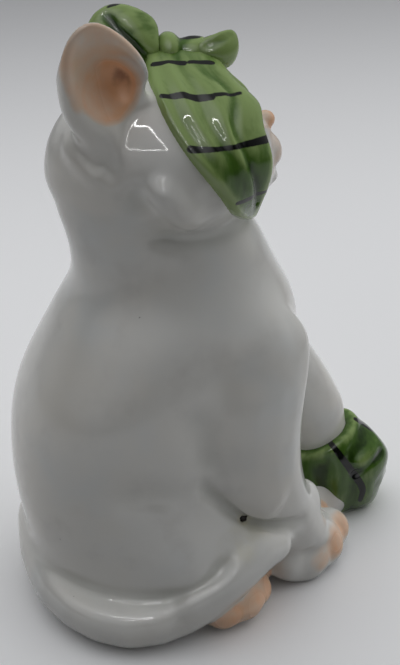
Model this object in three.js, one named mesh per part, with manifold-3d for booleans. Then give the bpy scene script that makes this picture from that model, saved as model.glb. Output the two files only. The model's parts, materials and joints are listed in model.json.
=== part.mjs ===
// A sitting kitten of glazed slip-cast ceramic with a bandaged head and a bandaged forepaw.
// Millimetres, +Z up. The kitten faces -Y, so +X is its left side and -X its right side.
// Each piece is moulded by itself and luted to its neighbours with slip before firing.

import * as THREE from 'three';
import { mergeVertices } from 'three/addons/utils/BufferGeometryUtils.js';
import Module from 'manifold-3d';

const wasm = await Module();
wasm.setup();

const { degToRad } = THREE.MathUtils;

// Width of the slip joint between two luted pieces
const SLIP_GAP = 0.3;

// Torso: rings from the flat sole to the neck, as height over the floor, reach to the rear,
// reach to the front and half width. The topmost ring is sunk in the head.
const SOLE = { height: 0, rear: 42, front: 9, half: 28 };
const SEAT = { height: 9, rear: 46, front: 13, half: 31.5 };
const RUMP = { height: 34, rear: 50.5, front: 17, half: 33 };
const BELLY = { height: 58, rear: 48.5, front: 21, half: 33 };
const SHOULDER = { height: 79, rear: 38.5, front: 25, half: 28.5 };
const NAPE = { height: 93, rear: 31.8, front: 19, half: 22 };
const NECK = { sunk: 14, rear: 35, front: 12, half: 19 };
// How boxy a ring is: 2 is an ellipse
const TORSO_SQUARENESS = 2.25;

// Haunches: a broad thigh and a rounder knee in front of it, standing out of the torso
const THIGH = { swell: 6, spread: 17, height: 20, rear: 10 };
const KNEE = { swell: 7, spread: 11, height: 20, forward: 2, inset: 5.5 };

// Head: an egg with its long axis from the nape to the face, tipped back, to its left and turned
const HEAD_WIDTH = 45;
const HEAD_HEIGHT = 40.5;
const HEAD_FRONT = 21;
const HEAD_BACK = 28;
const HEAD_RISE = 29;
const HEAD_SETBACK = 2.6;
const HEAD_PITCH = degToRad(8);
const HEAD_ROLL = degToRad(12);
const HEAD_TURN = degToRad(8);

// Swells of the head: direction from its middle, height, and spread as an angle
const HEAD_SWELLS = {
  muzzle: { towards: [0, -1, -0.25], swell: 4.2, spread: 0.42 },
  nose: { towards: [0, -1, -0.08], swell: 0.8, spread: 0.16 },
  brow: { towards: [0, -0.75, 0.66], swell: 2.2, spread: 0.5 },
  chin: { towards: [0, -0.75, -0.66], swell: 3.6, spread: 0.4 },
  rightCheek: { towards: [-0.58, -0.8, 0], swell: 5.6, spread: 0.5 },
  leftCheek: { towards: [0.58, -0.8, 0], swell: 4.4, spread: 0.5 },
  rightJaw: { towards: [-0.75, -0.25, -0.6], swell: 3, spread: 0.5 },
  leftJaw: { towards: [0.75, -0.25, -0.6], swell: 3, spread: 0.5 },
  nape: { towards: [0, 0.87, -0.5], swell: 5, spread: 0.35 },
};

// Head bandage: a pleated band over crown, cheeks and chin. Its edges are angles from the line
// of sight: the front edge is an upright oval, the rear edge comes forward towards the chin.
const BAND_THICKNESS = 2.6;
const BAND_EDGE_THICKNESS = 1.2;
const BAND_FRONT_EDGE = degToRad(31);
const BAND_FRONT_OVAL = degToRad(10);
const BAND_REAR_EDGE = degToRad(92);
const BAND_REAR_DROP = degToRad(41);
const BAND_REAR_BOW = 1.3;
const BAND_PLEATS = 4;
const BAND_PLEAT_DEPTH = 0.7;

// Ears: cups that stand on the head behind the band
const EAR_HEIGHT = 26.5;
const EAR_WIDTH = 19;
const EAR_DEPTH = 12;
const EAR_RIM = 2.4;
const EAR_FLOOR = 4.5;
const EAR_ROOT = 3;
const EAR_TAPER = 0.18;
const RIGHT_EAR = { side: -1, towards: [-0.74, 0.46, 0.49], lean: 20, sweep: 0, turn: 80 };
const LEFT_EAR = { side: 1, towards: [0.74, 0.46, 0.45], lean: 28, sweep: -2, turn: 76 };

// Bow on the crown: a knot and two loops that stand on edge, one to the rear, one to the front
const KNOT = { width: 10, tall: 8, forward: 7, sunk: 3 };
const REAR_LOOP = { length: 21, tall: 17, thick: 9, rise: degToRad(12), flare: 0.25 };
const FRONT_LOOP = { length: 13, tall: 10.5, thick: 8, rise: degToRad(-8), flare: 0.25 };
const LOOP_START = 1;

// Forelegs: rolls from the shoulder to the wrist. A station lies inset from the torso's side and
// set back from its front at that height, with a half width across and a half depth fore and aft.
const RIGHT_LEG = [
  { height: 77, inset: 9, setback: 14.7, wide: 10.5, deep: 14 },
  { height: 54, inset: 9.5, setback: 13.3, wide: 11.5, deep: 14.5 },
  { height: 33, inset: 13, setback: 4.4, wide: 10, deep: 12.5 },
];
const RIGHT_WRIST = { rise: 7, setback: 2.5, wide: 8.8, deep: 9.2 };
const LEFT_LEG = [
  { height: 75, inset: 9, setback: 14.3, wide: 10.5, deep: 12 },
  { height: 53, inset: 12.5, setback: -2.9, wide: 10, deep: 10 },
  { height: 31, inset: 17, setback: -19.4, wide: 8.8, deep: 8.8 },
];
const LEFT_WRIST = { rise: 9, setback: 3.5, wide: 8.4, deep: 8.4 };

// Paws with toes: each stands off the middle line and ahead of the seat's front
const PAW_LENGTH = 25;
const PAW_WIDTH = 21;
const PAW_HEIGHT = 17;
const RIGHT_PAW = { aside: -16, ahead: 12.5, turn: degToRad(6) };
const LEFT_PAW = { aside: 14, ahead: 32.5, turn: degToRad(6) };
const TOES = 4;
const TOE_SWELL = 1.5;
const TOE_SPREAD = 0.24;
const TOE_FAN = degToRad(90);
const SOLE_TRIM = 0.6;

// Bandage on the left forepaw: a lumpy sleeve over paw and wrist, folded round
const PAW_BANDAGE_WALL = 2.6;
const PAW_BANDAGE = { ahead: 0.5, width: 25, length: 29, tall: 31 };
const PAW_BANDAGE_FOLD = 0.8;
const PAW_BANDAGE_FOLD_PITCH = 0.7;

// Hind feet: under the haunches, toes turned out
const HIND_LENGTH = 32;
const HIND_WIDTH = 24;
const HIND_HEIGHT = 15;
const HIND_TURN = degToRad(35);
const HIND_INSET = 7.5;
const HIND_SETBACK = 16;

// Tail: a tapering roll that hugs the torso from the rump round the right side. A station has a
// turn from the rear middle line to the right, a height, a radius and how far it is pressed in.
const TAIL = [
  { turn: -16, height: 13, radius: 8.6, pressed: 13 },
  { turn: 14, height: 10, radius: 8.4, pressed: 11.7 },
  { turn: 45, height: 8.2, radius: 8.2, pressed: 8.7 },
  { turn: 74, height: 7.8, radius: 8.2, pressed: 6.5 },
  { turn: 102, height: 10.5, radius: 8, pressed: 10.4 },
  { turn: 120, height: 18.5, radius: 7.6, pressed: 12.3 },
  { turn: 142, height: 21, radius: 6.2, pressed: 2.8 },
];

// Glazes
const WHITE_GLAZE = { color: 0xe9e7e4, roughness: 0.16, metalness: 0 };
const GREEN_GLAZE = { color: 0x4f8a3c, roughness: 0.14, metalness: 0 };

// Facets
const TORSO_SIDES = 36;
const TORSO_RINGS = 26;
const HEAD_DETAIL = 7;
const BAND_SIDES = 36;
const BAND_STEPS = 16;
const BAND_INNER_STEPS = 6;
const EAR_SIDES = 24;
const EAR_STEPS = 6;
const KNOT_DETAIL = 4;
const LOOP_DETAIL = 4;
const PAW_DETAIL = 4;
const PAW_BANDAGE_DETAIL = 5;
const ROLL_SIDES = 16;
const ROLL_STEPS = 14;
const ROLL_CAP_RINGS = 4;

// Corners closer than this are one corner
const WELD = 1e-5;
// Halvings of a course in search of a height
const HALVINGS = 30;

const FRONT = new THREE.Vector3(0, -1, 0);
const UP = new THREE.Vector3(0, 0, 1);

// Shapes

// A closed mesh as a solid that can be cut
function solid(geometry) {
  geometry.deleteAttribute('normal');
  geometry.deleteAttribute('uv');
  const merged = mergeVertices(geometry, WELD);
  const mesh = new wasm.Mesh({
    numProp: 3,
    vertProperties: new Float32Array(merged.attributes.position.array),
    triVerts: new Uint32Array(merged.index.array),
  });
  return new wasm.Manifold(mesh);
}

// The largest body that a cut leaves
function mainBody(cut) {
  return cut.decompose().reduce((best, body) => (body.volume() > best.volume() ? body : best));
}

// A piece cut back by its neighbours, each grown by the slip joint
function seated(form, ...neighbours) {
  return mainBody(neighbours.reduce((rest, neighbour) => rest.subtract(neighbour(SLIP_GAP)), form(0)));
}

function piece(name, body, glaze) {
  const { vertProperties, triVerts } = body.getMesh();
  const geometry = new THREE.BufferGeometry();
  geometry.setAttribute('position', new THREE.BufferAttribute(new Float32Array(vertProperties), 3));
  geometry.setIndex(Array.from(triVerts));
  geometry.computeVertexNormals();
  const mesh = new THREE.Mesh(geometry, new THREE.MeshStandardMaterial(glaze));
  mesh.name = name;
  return mesh;
}

// A bump that fades with distance
function fade(distance, spread) {
  return Math.exp(-((distance / spread) ** 2));
}

// Radius of an ellipsoid in a direction
function ellipsoidRadius(direction, x, y, z) {
  return 1 / Math.hypot(direction.x / x, direction.y / y, direction.z / z);
}

// A ball whose radius is given for every direction
function ball(radiusAt, detail) {
  const geometry = new THREE.IcosahedronGeometry(1, detail);
  const positions = geometry.attributes.position;
  const direction = new THREE.Vector3();
  for (let i = 0; i < positions.count; i += 1) {
    direction.fromBufferAttribute(positions, i).normalize();
    direction.multiplyScalar(radiusAt(direction));
    positions.setXYZ(i, direction.x, direction.y, direction.z);
  }
  return geometry;
}

// Rings of equal count joined into a skin: a tube with a fan at both ends, or a closed hoop
function skin(rings, isHoop) {
  const sides = rings[0].length;
  const positions = rings.flat().flatMap((p) => [p.x, p.y, p.z]);
  const faces = [];
  const spans = isHoop ? rings.length : rings.length - 1;
  for (let ring = 0; ring < spans; ring += 1) {
    const after = (ring + 1) % rings.length;
    for (let side = 0; side < sides; side += 1) {
      const next = (side + 1) % sides;
      const [a, b] = [ring * sides + side, ring * sides + next];
      const [c, d] = [after * sides + side, after * sides + next];
      faces.push(a, b, c, b, d, c);
    }
  }
  const ends = isHoop ? [] : [0, rings.length - 1];
  ends.forEach((ring, end) => {
    const middle = rings[ring].reduce((sum, p) => sum.add(p), new THREE.Vector3()).divideScalar(sides);
    const hub = positions.length / 3;
    positions.push(middle.x, middle.y, middle.z);
    for (let side = 0; side < sides; side += 1) {
      const a = ring * sides + side;
      const b = ring * sides + ((side + 1) % sides);
      faces.push(hub, end ? a : b, end ? b : a);
    }
  });
  const geometry = new THREE.BufferGeometry();
  geometry.setAttribute('position', new THREE.Float32BufferAttribute(positions, 3));
  geometry.setIndex(faces);
  return geometry;
}

// A tapering roll along a spine of stations { at, wide, deep }, round at both ends. Its depth
// lies along the reference direction.
function roll(stations, reference, grow) {
  const spine = new THREE.CatmullRomCurve3(stations.map((station) => station.at));
  const halves = stations.map(({ wide, deep }) => new THREE.Vector3(wide, deep, 0));
  const girth = new THREE.CatmullRomCurve3(halves);

  const ringAt = (t, shrink, shift) => {
    const tangent = spine.getTangent(t);
    const acrossAxis = new THREE.Vector3().crossVectors(tangent, reference).normalize();
    const depthAxis = new THREE.Vector3().crossVectors(tangent, acrossAxis);
    const half = girth.getPoint(t).addScalar(grow);
    const middle = spine.getPoint(t).addScaledVector(tangent, (shift * (half.x + half.y)) / 2);
    return Array.from({ length: ROLL_SIDES }, (_, side) => {
      const angle = (side / ROLL_SIDES) * Math.PI * 2;
      return middle
        .clone()
        .addScaledVector(acrossAxis, Math.cos(angle) * half.x * shrink)
        .addScaledVector(depthAxis, Math.sin(angle) * half.y * shrink);
    });
  };

  const capAngles = Array.from(
    { length: ROLL_CAP_RINGS },
    (_, i) => ((i + 1) / (ROLL_CAP_RINGS + 1)) * (Math.PI / 2),
  );
  const startCap = capAngles.map((angle) => ringAt(0, Math.sin(angle), -Math.cos(angle)));
  const shaft = Array.from({ length: ROLL_STEPS + 1 }, (_, i) => ringAt(i / ROLL_STEPS, 1, 0));
  const endCap = capAngles.map((angle) => ringAt(1, Math.sin(angle), Math.cos(angle))).reverse();
  return skin([...startCap, ...shaft, ...endCap], false);
}

// Everything below the floor
function belowFloor(grow) {
  const size = 8 * RUMP.rear;
  return solid(new THREE.BoxGeometry(size, size, size).translate(0, 0, -size / 2 - grow));
}

// Torso

const neckHeight = NAPE.height + HEAD_RISE - NECK.sunk;
const torsoRings = [SOLE, SEAT, RUMP, BELLY, SHOULDER, NAPE, { ...NECK, height: neckHeight }];

// A smooth course of one measure of the rings, from the sole at 0 to the neck at 1
function course(measure) {
  const curve = new THREE.SplineCurve(torsoRings.map((ring, i) => new THREE.Vector2(i, ring[measure])));
  return (t) => curve.getPoint(t).y;
}

const torsoHeight = course('height');
const torsoRear = course('rear');
const torsoFront = course('front');
const torsoHalf = course('half');

// Where on the course a height lies
function courseAt(height) {
  let [low, high] = [0, 1];
  for (let i = 0; i < HALVINGS; i += 1) {
    const middle = (low + high) / 2;
    [low, high] = torsoHeight(middle) < height ? [middle, high] : [low, middle];
  }
  return (low + high) / 2;
}

// A point on the torso's plain outline. The angle turns from the left side to the rear.
function torsoOutline(t, angle, grow) {
  const [c, s] = [Math.cos(angle), Math.sin(angle)];
  const reach = (torsoRear(t) + torsoFront(t)) / 2 + grow;
  const squareness = TORSO_SQUARENESS;
  const radius = (Math.abs(c) ** squareness + Math.abs(s) ** squareness) ** (-1 / squareness);
  const middle = (torsoRear(t) - torsoFront(t)) / 2;
  return new THREE.Vector3(c * radius * (torsoHalf(t) + grow), middle + s * radius * reach, torsoHeight(t));
}

// Thigh and knee push a point of the outline out and forward, but not at the sole
function withHaunch(point) {
  const side = Math.sign(point.x) || 1;
  const thigh = new THREE.Vector3(side * RUMP.half, THIGH.rear, THIGH.height);
  const knee = new THREE.Vector3(side * (RUMP.half - KNEE.inset), -KNEE.forward, KNEE.height);
  const share = (Math.abs(point.x) / RUMP.half) * Math.min(point.z / SEAT.height, 1);
  const thighPush = THIGH.swell * fade(point.distanceTo(thigh), THIGH.spread) * share;
  const kneePush = KNEE.swell * fade(point.distanceTo(knee), KNEE.spread) * share;
  point.x += side * (thighPush + kneePush / 2);
  point.y -= kneePush;
  return point;
}

function torsoForm(grow) {
  const rings = Array.from({ length: TORSO_RINGS + 1 }, (_, ring) =>
    Array.from({ length: TORSO_SIDES }, (__, side) =>
      withHaunch(torsoOutline(ring / TORSO_RINGS, (side / TORSO_SIDES) * Math.PI * 2, grow)),
    ),
  );
  return solid(skin(rings, false));
}

// Head, in its own frame: the middle of the skull at the origin, facing -Y

const headSwells = Object.values(HEAD_SWELLS).map(({ towards, swell, spread }) => ({
  towards: new THREE.Vector3(...towards).normalize(),
  swell,
  spread,
}));

function headRadius(direction) {
  const reach = direction.y < 0 ? HEAD_FRONT : HEAD_BACK;
  const egg = ellipsoidRadius(direction, HEAD_WIDTH / 2, reach, HEAD_HEIGHT / 2);
  return headSwells.reduce(
    (radius, bump) => radius + bump.swell * fade(direction.angleTo(bump.towards), bump.spread),
    egg,
  );
}

function headForm(grow) {
  return solid(ball((direction) => headRadius(direction) + grow, HEAD_DETAIL));
}

// Head bandage

// A direction given by the turn round the line of sight, from the crown, and the angle off it
function bandDirection(around, off) {
  const radial = new THREE.Vector3(Math.sin(around), 0, Math.cos(around));
  return radial.multiplyScalar(Math.sin(off)).addScaledVector(FRONT, Math.cos(off));
}

// Height of the band over the head across its width, from 0 at the front edge to 1 at the rear
function bandHeight(across) {
  const crowned = 1 - (2 * across - 1) ** 4;
  const pleat = Math.cos(across * BAND_PLEATS * Math.PI * 2) * BAND_PLEAT_DEPTH;
  return BAND_EDGE_THICKNESS + (BAND_THICKNESS - BAND_EDGE_THICKNESS + pleat) * crowned;
}

function bandForm(grow) {
  const edgeGrow = grow / (HEAD_WIDTH / 2);
  const rings = Array.from({ length: BAND_SIDES }, (_, side) => {
    const around = -(side / BAND_SIDES) * Math.PI * 2;
    const front = BAND_FRONT_EDGE + BAND_FRONT_OVAL * Math.cos(around) ** 2 - edgeGrow;
    const drop = ((1 - Math.cos(around)) / 2) ** BAND_REAR_BOW;
    const rear = BAND_REAR_EDGE - BAND_REAR_DROP * drop + edgeGrow;
    const pointAt = (across, over) => {
      const direction = bandDirection(around, front + (rear - front) * across);
      return direction.multiplyScalar(headRadius(direction) + over);
    };
    const outside = Array.from({ length: BAND_STEPS + 1 }, (__, step) =>
      pointAt(step / BAND_STEPS, bandHeight(step / BAND_STEPS) + grow),
    );
    const inside = Array.from({ length: BAND_INNER_STEPS + 1 }, (__, step) =>
      pointAt(1 - step / BAND_INNER_STEPS, SLIP_GAP - 2 * grow),
    );
    return [...outside, ...inside];
  });
  return solid(skin(rings, true));
}

// Ears

// An oval ring of an ear's cup, upright, narrower towards its tip, so far behind the rim
function earRing(wide, tall, behind) {
  const middle = (EAR_HEIGHT - EAR_ROOT) / 2;
  const y = behind - EAR_DEPTH / 2;
  return Array.from({ length: EAR_SIDES }, (_, side) => {
    const angle = (side / EAR_SIDES) * Math.PI * 2;
    const taper = 1 - EAR_TAPER * Math.max(0, Math.sin(angle)) ** 2;
    return new THREE.Vector3(Math.cos(angle) * wide * taper, y, middle + Math.sin(angle) * tall);
  });
}

// An ear is a cup with a round rim. Its open side faces -Y before the ear is turned.
function earForm(ear) {
  const towards = new THREE.Vector3(...ear.towards).normalize();
  const turns = [ear.sweep, ear.lean * ear.side, ear.turn * ear.side].map(degToRad);
  const place = new THREE.Matrix4().makeRotationFromEuler(new THREE.Euler(...turns, 'XYZ'));
  place.setPosition(towards.multiplyScalar(headRadius(towards) - EAR_RIM / 2));
  const tall = (EAR_HEIGHT + EAR_ROOT) / 2;
  const wide = EAR_WIDTH / 2;
  const angles = Array.from({ length: EAR_STEPS }, (_, i) => ((i + 1) / EAR_STEPS) * (Math.PI / 2));
  return (grow) => {
    const bowl = (angle, inset, depth) => {
      const across = Math.sin(angle);
      return earRing((wide - inset) * across, (tall - inset) * across, depth * Math.cos(angle));
    };
    const outside = angles.map((angle) => bowl(angle, -grow, EAR_DEPTH + grow));
    const rim = earRing(wide - EAR_RIM / 2, tall - EAR_RIM / 2, -EAR_RIM / 2 - grow);
    const inside = angles.map((angle) => bowl(angle, EAR_RIM, EAR_DEPTH - EAR_FLOOR)).reverse();
    const rings = grow > 0 ? [...outside, rim] : [...outside, rim, ...inside];
    return solid(skin(rings, false).applyMatrix4(place));
  };
}

// Bow

const crownDirection = bandDirection(0, Math.atan2(HEAD_HEIGHT / 2, KNOT.forward));
const crown = crownDirection.clone().multiplyScalar(headRadius(crownDirection) + BAND_THICKNESS);
const knotMiddle = crown.clone().addScaledVector(UP, KNOT.tall / 2 - KNOT.sunk);

function knotForm(grow) {
  const knot = ball(
    (direction) => ellipsoidRadius(direction, KNOT.width / 2, KNOT.width / 2, KNOT.tall / 2) + grow,
    KNOT_DETAIL,
  );
  return solid(knot.translate(...knotMiddle.toArray()));
}

// A loop is a flattened drop that starts in the knot and widens away from it
function loopForm(loop, heading) {
  return (grow) => {
    const drop = ball((direction) => {
      const tall = (loop.tall / 2) * (1 + loop.flare * direction.y);
      return ellipsoidRadius(direction, loop.thick / 2, loop.length / 2, tall) + grow;
    }, LOOP_DETAIL);
    drop.translate(0, LOOP_START + loop.length / 2, 0);
    drop.rotateX(loop.rise);
    drop.rotateZ(heading);
    return solid(drop.translate(...knotMiddle.toArray()));
  };
}

// Legs, paws and feet

// A paw as a ball with a fan of toes, standing on its trimmed sole
function pawForm(x, forward, turn, long, wide, tall, lift) {
  const toes = Array.from({ length: TOES }, (_, toe) => {
    const angle = TOE_FAN * (toe / (TOES - 1) - 1 / 2);
    return new THREE.Vector3(Math.sin(angle), -Math.cos(angle), 0);
  });
  return (grow) => {
    const paw = ball((direction) => {
      const pad = ellipsoidRadius(direction, wide / 2, long / 2, tall / 2) + grow;
      return toes.reduce((radius, toe) => radius + TOE_SWELL * fade(direction.angleTo(toe), TOE_SPREAD), pad);
    }, PAW_DETAIL);
    paw.rotateZ(turn);
    paw.translate(x, -forward, tall / 2 - SOLE_TRIM + lift);
    return solid(paw);
  };
}

// Stations of a leg on its side of the torso, with its wrist over the paw
function legStations(side, stations, wrist, paw) {
  const onTorso = stations.map(({ height, inset, setback, wide, deep }) => {
    const t = courseAt(height);
    const at = new THREE.Vector3(side * (torsoHalf(t) - inset), setback - torsoFront(t), height);
    return { at, wide, deep };
  });
  const wristY = wrist.setback - SEAT.front - paw.ahead;
  const overPaw = new THREE.Vector3(paw.aside, wristY, PAW_HEIGHT / 2 + wrist.rise);
  return [...onTorso, { at: overPaw, wide: wrist.wide, deep: wrist.deep }];
}

function legForm(side, stations, wrist, paw, lift) {
  const spine = legStations(side, stations, wrist, paw);
  const forward = SEAT.front + paw.ahead;
  const foot = pawForm(paw.aside, forward, paw.turn, PAW_LENGTH, PAW_WIDTH, PAW_HEIGHT, lift);
  return (grow) => solid(roll(spine, FRONT, grow)).add(foot(grow)).subtract(belowFloor(grow));
}

const rightLegForm = legForm(-1, RIGHT_LEG, RIGHT_WRIST, RIGHT_PAW, 0);
const leftLegForm = legForm(1, LEFT_LEG, LEFT_WRIST, LEFT_PAW, PAW_BANDAGE_WALL);

// The bandage's folds run round the paw
function pawBandageForm(grow) {
  const bandage = ball((direction) => {
    const fold = Math.cos((direction.y / PAW_BANDAGE_FOLD_PITCH + direction.x / 2) * Math.PI * 2);
    const { width, length, tall } = PAW_BANDAGE;
    return ellipsoidRadius(direction, width / 2, length / 2, tall / 2) + fold * PAW_BANDAGE_FOLD + grow;
  }, PAW_BANDAGE_DETAIL);
  const forward = SEAT.front + LEFT_PAW.ahead + PAW_BANDAGE.ahead;
  bandage.translate(LEFT_PAW.aside, -forward, PAW_HEIGHT / 2 + PAW_BANDAGE_WALL + PAW_BANDAGE_FOLD);
  return solid(bandage).subtract(belowFloor(grow));
}

function hindForm(side) {
  const x = side * (SEAT.half - HIND_INSET);
  const forward = SEAT.front - HIND_SETBACK;
  const turn = side * HIND_TURN;
  const foot = pawForm(x, forward, turn, HIND_LENGTH, HIND_WIDTH, HIND_HEIGHT, 0);
  return (grow) => foot(grow).subtract(belowFloor(grow));
}

const rightHindForm = hindForm(-1);
const leftHindForm = hindForm(1);

// Tail

const tailStations = TAIL.map(({ turn, height, radius, pressed }) => {
  const angle = Math.PI / 2 + degToRad(turn);
  const surface = withHaunch(torsoOutline(courseAt(height), angle, 0));
  const outward = new THREE.Vector3(Math.cos(angle), Math.sin(angle), 0);
  return { at: surface.addScaledVector(outward, radius - pressed), wide: radius, deep: radius };
});

function tailForm(grow) {
  return solid(roll(tailStations, UP, grow)).subtract(belowFloor(grow));
}

// Put together

const headGroup = new THREE.Group();
headGroup.rotation.set(-HEAD_PITCH, HEAD_ROLL, -HEAD_TURN, 'ZXY');
headGroup.position.set(0, (NAPE.rear - NAPE.front) / 2 + HEAD_SETBACK, NAPE.height + HEAD_RISE);
headGroup.updateMatrix();

// Head and band as the torso sees them
function headOnNeck(grow) {
  return headForm(grow).add(bandForm(grow)).transform(headGroup.matrix.elements);
}

const rightEarForm = earForm(RIGHT_EAR);
const leftEarForm = earForm(LEFT_EAR);
const rearLoopForm = loopForm(REAR_LOOP, 0);
const frontLoopForm = loopForm(FRONT_LOOP, Math.PI);

headGroup.add(
  piece('head', headForm(0), WHITE_GLAZE),
  piece('right_ear', seated(rightEarForm, headForm, bandForm), WHITE_GLAZE),
  piece('left_ear', seated(leftEarForm, headForm, bandForm), WHITE_GLAZE),
  piece('head_bandage', bandForm(0), GREEN_GLAZE),
  piece('bow_knot', seated(knotForm, headForm, bandForm), GREEN_GLAZE),
  piece(
    'bow_loop_rear',
    seated(rearLoopForm, knotForm, headForm, bandForm, rightEarForm, leftEarForm),
    GREEN_GLAZE,
  ),
  piece('bow_loop_front', seated(frontLoopForm, knotForm, headForm, bandForm), GREEN_GLAZE),
);

const bodyGroup = new THREE.Group();
bodyGroup.add(
  piece('torso', seated(torsoForm, headOnNeck), WHITE_GLAZE),
  piece('right_foreleg', seated(rightLegForm, torsoForm, headOnNeck), WHITE_GLAZE),
  piece('left_foreleg', seated(leftLegForm, torsoForm, headOnNeck), WHITE_GLAZE),
  piece('paw_bandage', seated(pawBandageForm, leftLegForm, rightLegForm), GREEN_GLAZE),
  piece('right_hind_foot', seated(rightHindForm, torsoForm, rightLegForm), WHITE_GLAZE),
  piece('left_hind_foot', seated(leftHindForm, torsoForm, leftLegForm, pawBandageForm), WHITE_GLAZE),
  piece('tail', seated(tailForm, torsoForm, rightHindForm, rightLegForm), WHITE_GLAZE),
  headGroup,
);

// The sole stands on the floor with the middle of the kitten's outline over the origin
const outline = new THREE.Box3().setFromObject(bodyGroup, true);
const middle = outline.getCenter(new THREE.Vector3());
bodyGroup.position.set(-middle.x, -middle.y, -outline.min.z);

const kitten = new THREE.Group();
kitten.add(bodyGroup);

export default kitten;
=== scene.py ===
import json
import math

import bpy
import numpy as np
import openvdb
from mathutils import Matrix, Vector

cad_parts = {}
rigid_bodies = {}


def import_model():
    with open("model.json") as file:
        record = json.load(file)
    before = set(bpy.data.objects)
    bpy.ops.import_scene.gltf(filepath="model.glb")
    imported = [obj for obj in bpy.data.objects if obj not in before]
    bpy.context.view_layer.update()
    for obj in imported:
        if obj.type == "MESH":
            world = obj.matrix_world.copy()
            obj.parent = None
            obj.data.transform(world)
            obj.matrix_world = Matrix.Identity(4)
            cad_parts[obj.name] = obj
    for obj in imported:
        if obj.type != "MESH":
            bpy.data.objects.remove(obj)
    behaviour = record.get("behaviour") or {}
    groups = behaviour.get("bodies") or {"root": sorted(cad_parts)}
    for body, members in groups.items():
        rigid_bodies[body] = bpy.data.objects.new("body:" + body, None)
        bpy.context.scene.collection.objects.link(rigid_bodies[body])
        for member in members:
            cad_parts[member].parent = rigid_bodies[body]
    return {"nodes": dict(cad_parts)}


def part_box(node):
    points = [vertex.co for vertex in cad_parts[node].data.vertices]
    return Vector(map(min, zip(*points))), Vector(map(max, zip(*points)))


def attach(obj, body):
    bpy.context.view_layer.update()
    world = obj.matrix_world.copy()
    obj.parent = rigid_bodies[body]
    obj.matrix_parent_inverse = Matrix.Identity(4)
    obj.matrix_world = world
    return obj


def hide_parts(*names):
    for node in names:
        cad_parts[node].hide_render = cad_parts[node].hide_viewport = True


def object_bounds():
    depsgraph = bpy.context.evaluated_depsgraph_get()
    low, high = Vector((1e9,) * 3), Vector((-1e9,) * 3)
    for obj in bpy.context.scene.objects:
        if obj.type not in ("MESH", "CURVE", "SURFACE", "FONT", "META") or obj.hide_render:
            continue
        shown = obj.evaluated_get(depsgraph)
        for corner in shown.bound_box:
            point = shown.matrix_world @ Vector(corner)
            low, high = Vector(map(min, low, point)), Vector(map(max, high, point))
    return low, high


for stray in list(bpy.data.objects):
    bpy.data.objects.remove(stray)
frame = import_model()
cad_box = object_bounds()

# Torso
# The body with both haunches and the neck is a hollow casting of white earthenware slip. It is worked
# here as clay on a lattice, whose points hold their distance in mm from the skin, negative inside.

MM = 1000.0
LATTICE_PITCH = 0.6
LATTICE_MARGIN = 6.0
LATTICE_REACH = 11

clay_low = np.array(cad_box[0]) * MM - LATTICE_MARGIN
clay_high = np.array(cad_box[1]) * MM + LATTICE_MARGIN
clay_count = np.ceil((clay_high - clay_low) / LATTICE_PITCH).astype(int) + 1
clay_x, clay_y, clay_z = (
    (clay_low[axis] + LATTICE_PITCH * np.arange(clay_count[axis])).astype(np.float32).reshape(shape)
    for axis, shape in enumerate(((-1, 1, 1), (1, -1, 1), (1, 1, -1)))
)


def depth_in(points, faces):
    """Distance from a closed skin on the lattice."""
    grid = openvdb.FloatGrid.createLevelSetFromPolygons(
        ((points - clay_low) / LATTICE_PITCH).astype(np.float32),
        triangles=faces.astype(np.uint32),
        halfWidth=LATTICE_REACH,
    )
    field = np.empty(clay_count, np.float32)
    grid.copyToArray(field)
    return field * np.float32(LATTICE_PITCH)


def moulded(node):
    """Distance from one moulded piece of the frame."""
    mesh = frame["nodes"][node].data
    mesh.calc_loop_triangles()
    points = np.empty(len(mesh.vertices) * 3, np.float32)
    mesh.vertices.foreach_get("co", points)
    faces = np.empty(len(mesh.loop_triangles) * 3, np.int32)
    mesh.loop_triangles.foreach_get("vertices", faces)
    return depth_in(points.reshape(-1, 3) * MM, faces.reshape(-1, 3))


clay = {"torso": moulded("torso")}

# Tail
# The tail is a thick roll of clay that is laid round the right haunch and pressed on. Its blunt tip
# climbs over the right foot and ends under the elbow.


def round_about(points, reach):
    """The window of the lattice round some points, and the places of its lattice points."""
    points = np.asarray(points, float)
    first = ((points.min(0) - reach - clay_low) / LATTICE_PITCH).astype(int)
    last = ((points.max(0) + reach - clay_low) / LATTICE_PITCH).astype(int) + 2
    first = np.clip(first, 0, clay_count - 1)
    last = np.clip(last, 1, clay_count)
    window = tuple(slice(a, b) for a, b in zip(first, last))
    axes = clay_x[window[0]], clay_y[:, window[1]], clay_z[:, :, window[2]]
    return window, np.stack(np.broadcast_arrays(*axes), -1)


def bent(stops, count=28):
    """A smooth course through some stops."""
    stops = np.asarray(stops, float)
    ends = np.concatenate([[2 * stops[0] - stops[1]], stops, [2 * stops[-1] - stops[-2]]])
    spot = np.linspace(0, len(stops) - 1.0001, count)
    at = spot.astype(int)
    t = (spot - at)[:, None]
    before, start, end, after = (ends[at + i] for i in range(4))
    bend = 2 * before - 5 * start + 4 * end - after
    twist = 3 * start - before - 3 * end + after
    return 0.5 * (2 * start + (end - before) * t + bend * t**2 + twist * t**3)


def along(course, spots):
    """Distance of spots from a course, and how far along it they lie from 0 to 1."""
    away = np.full(spots.shape[:-1], 1e9)
    how_far = np.zeros(spots.shape[:-1])
    count = len(course) - 1
    for i in range(count):
        start = course[i, :3]
        run = course[i + 1, :3] - start
        t = np.clip(((spots - start) @ run) / max(run @ run, 1e-9), 0, 1)
        gap = np.linalg.norm(spots - start - t[..., None] * run, axis=-1)
        closer = gap < away
        away[closer] = gap[closer]
        how_far[closer] = ((i + t) / count)[closer]
    return away, how_far


def joined(a, b, fillet):
    """Two lumps of clay joined with a fillet of slip."""
    share = np.clip(0.5 + 0.5 * (b - a) / fillet, 0, 1)
    return b + (a - b) * share - fillet * share * (1 - share)


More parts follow.
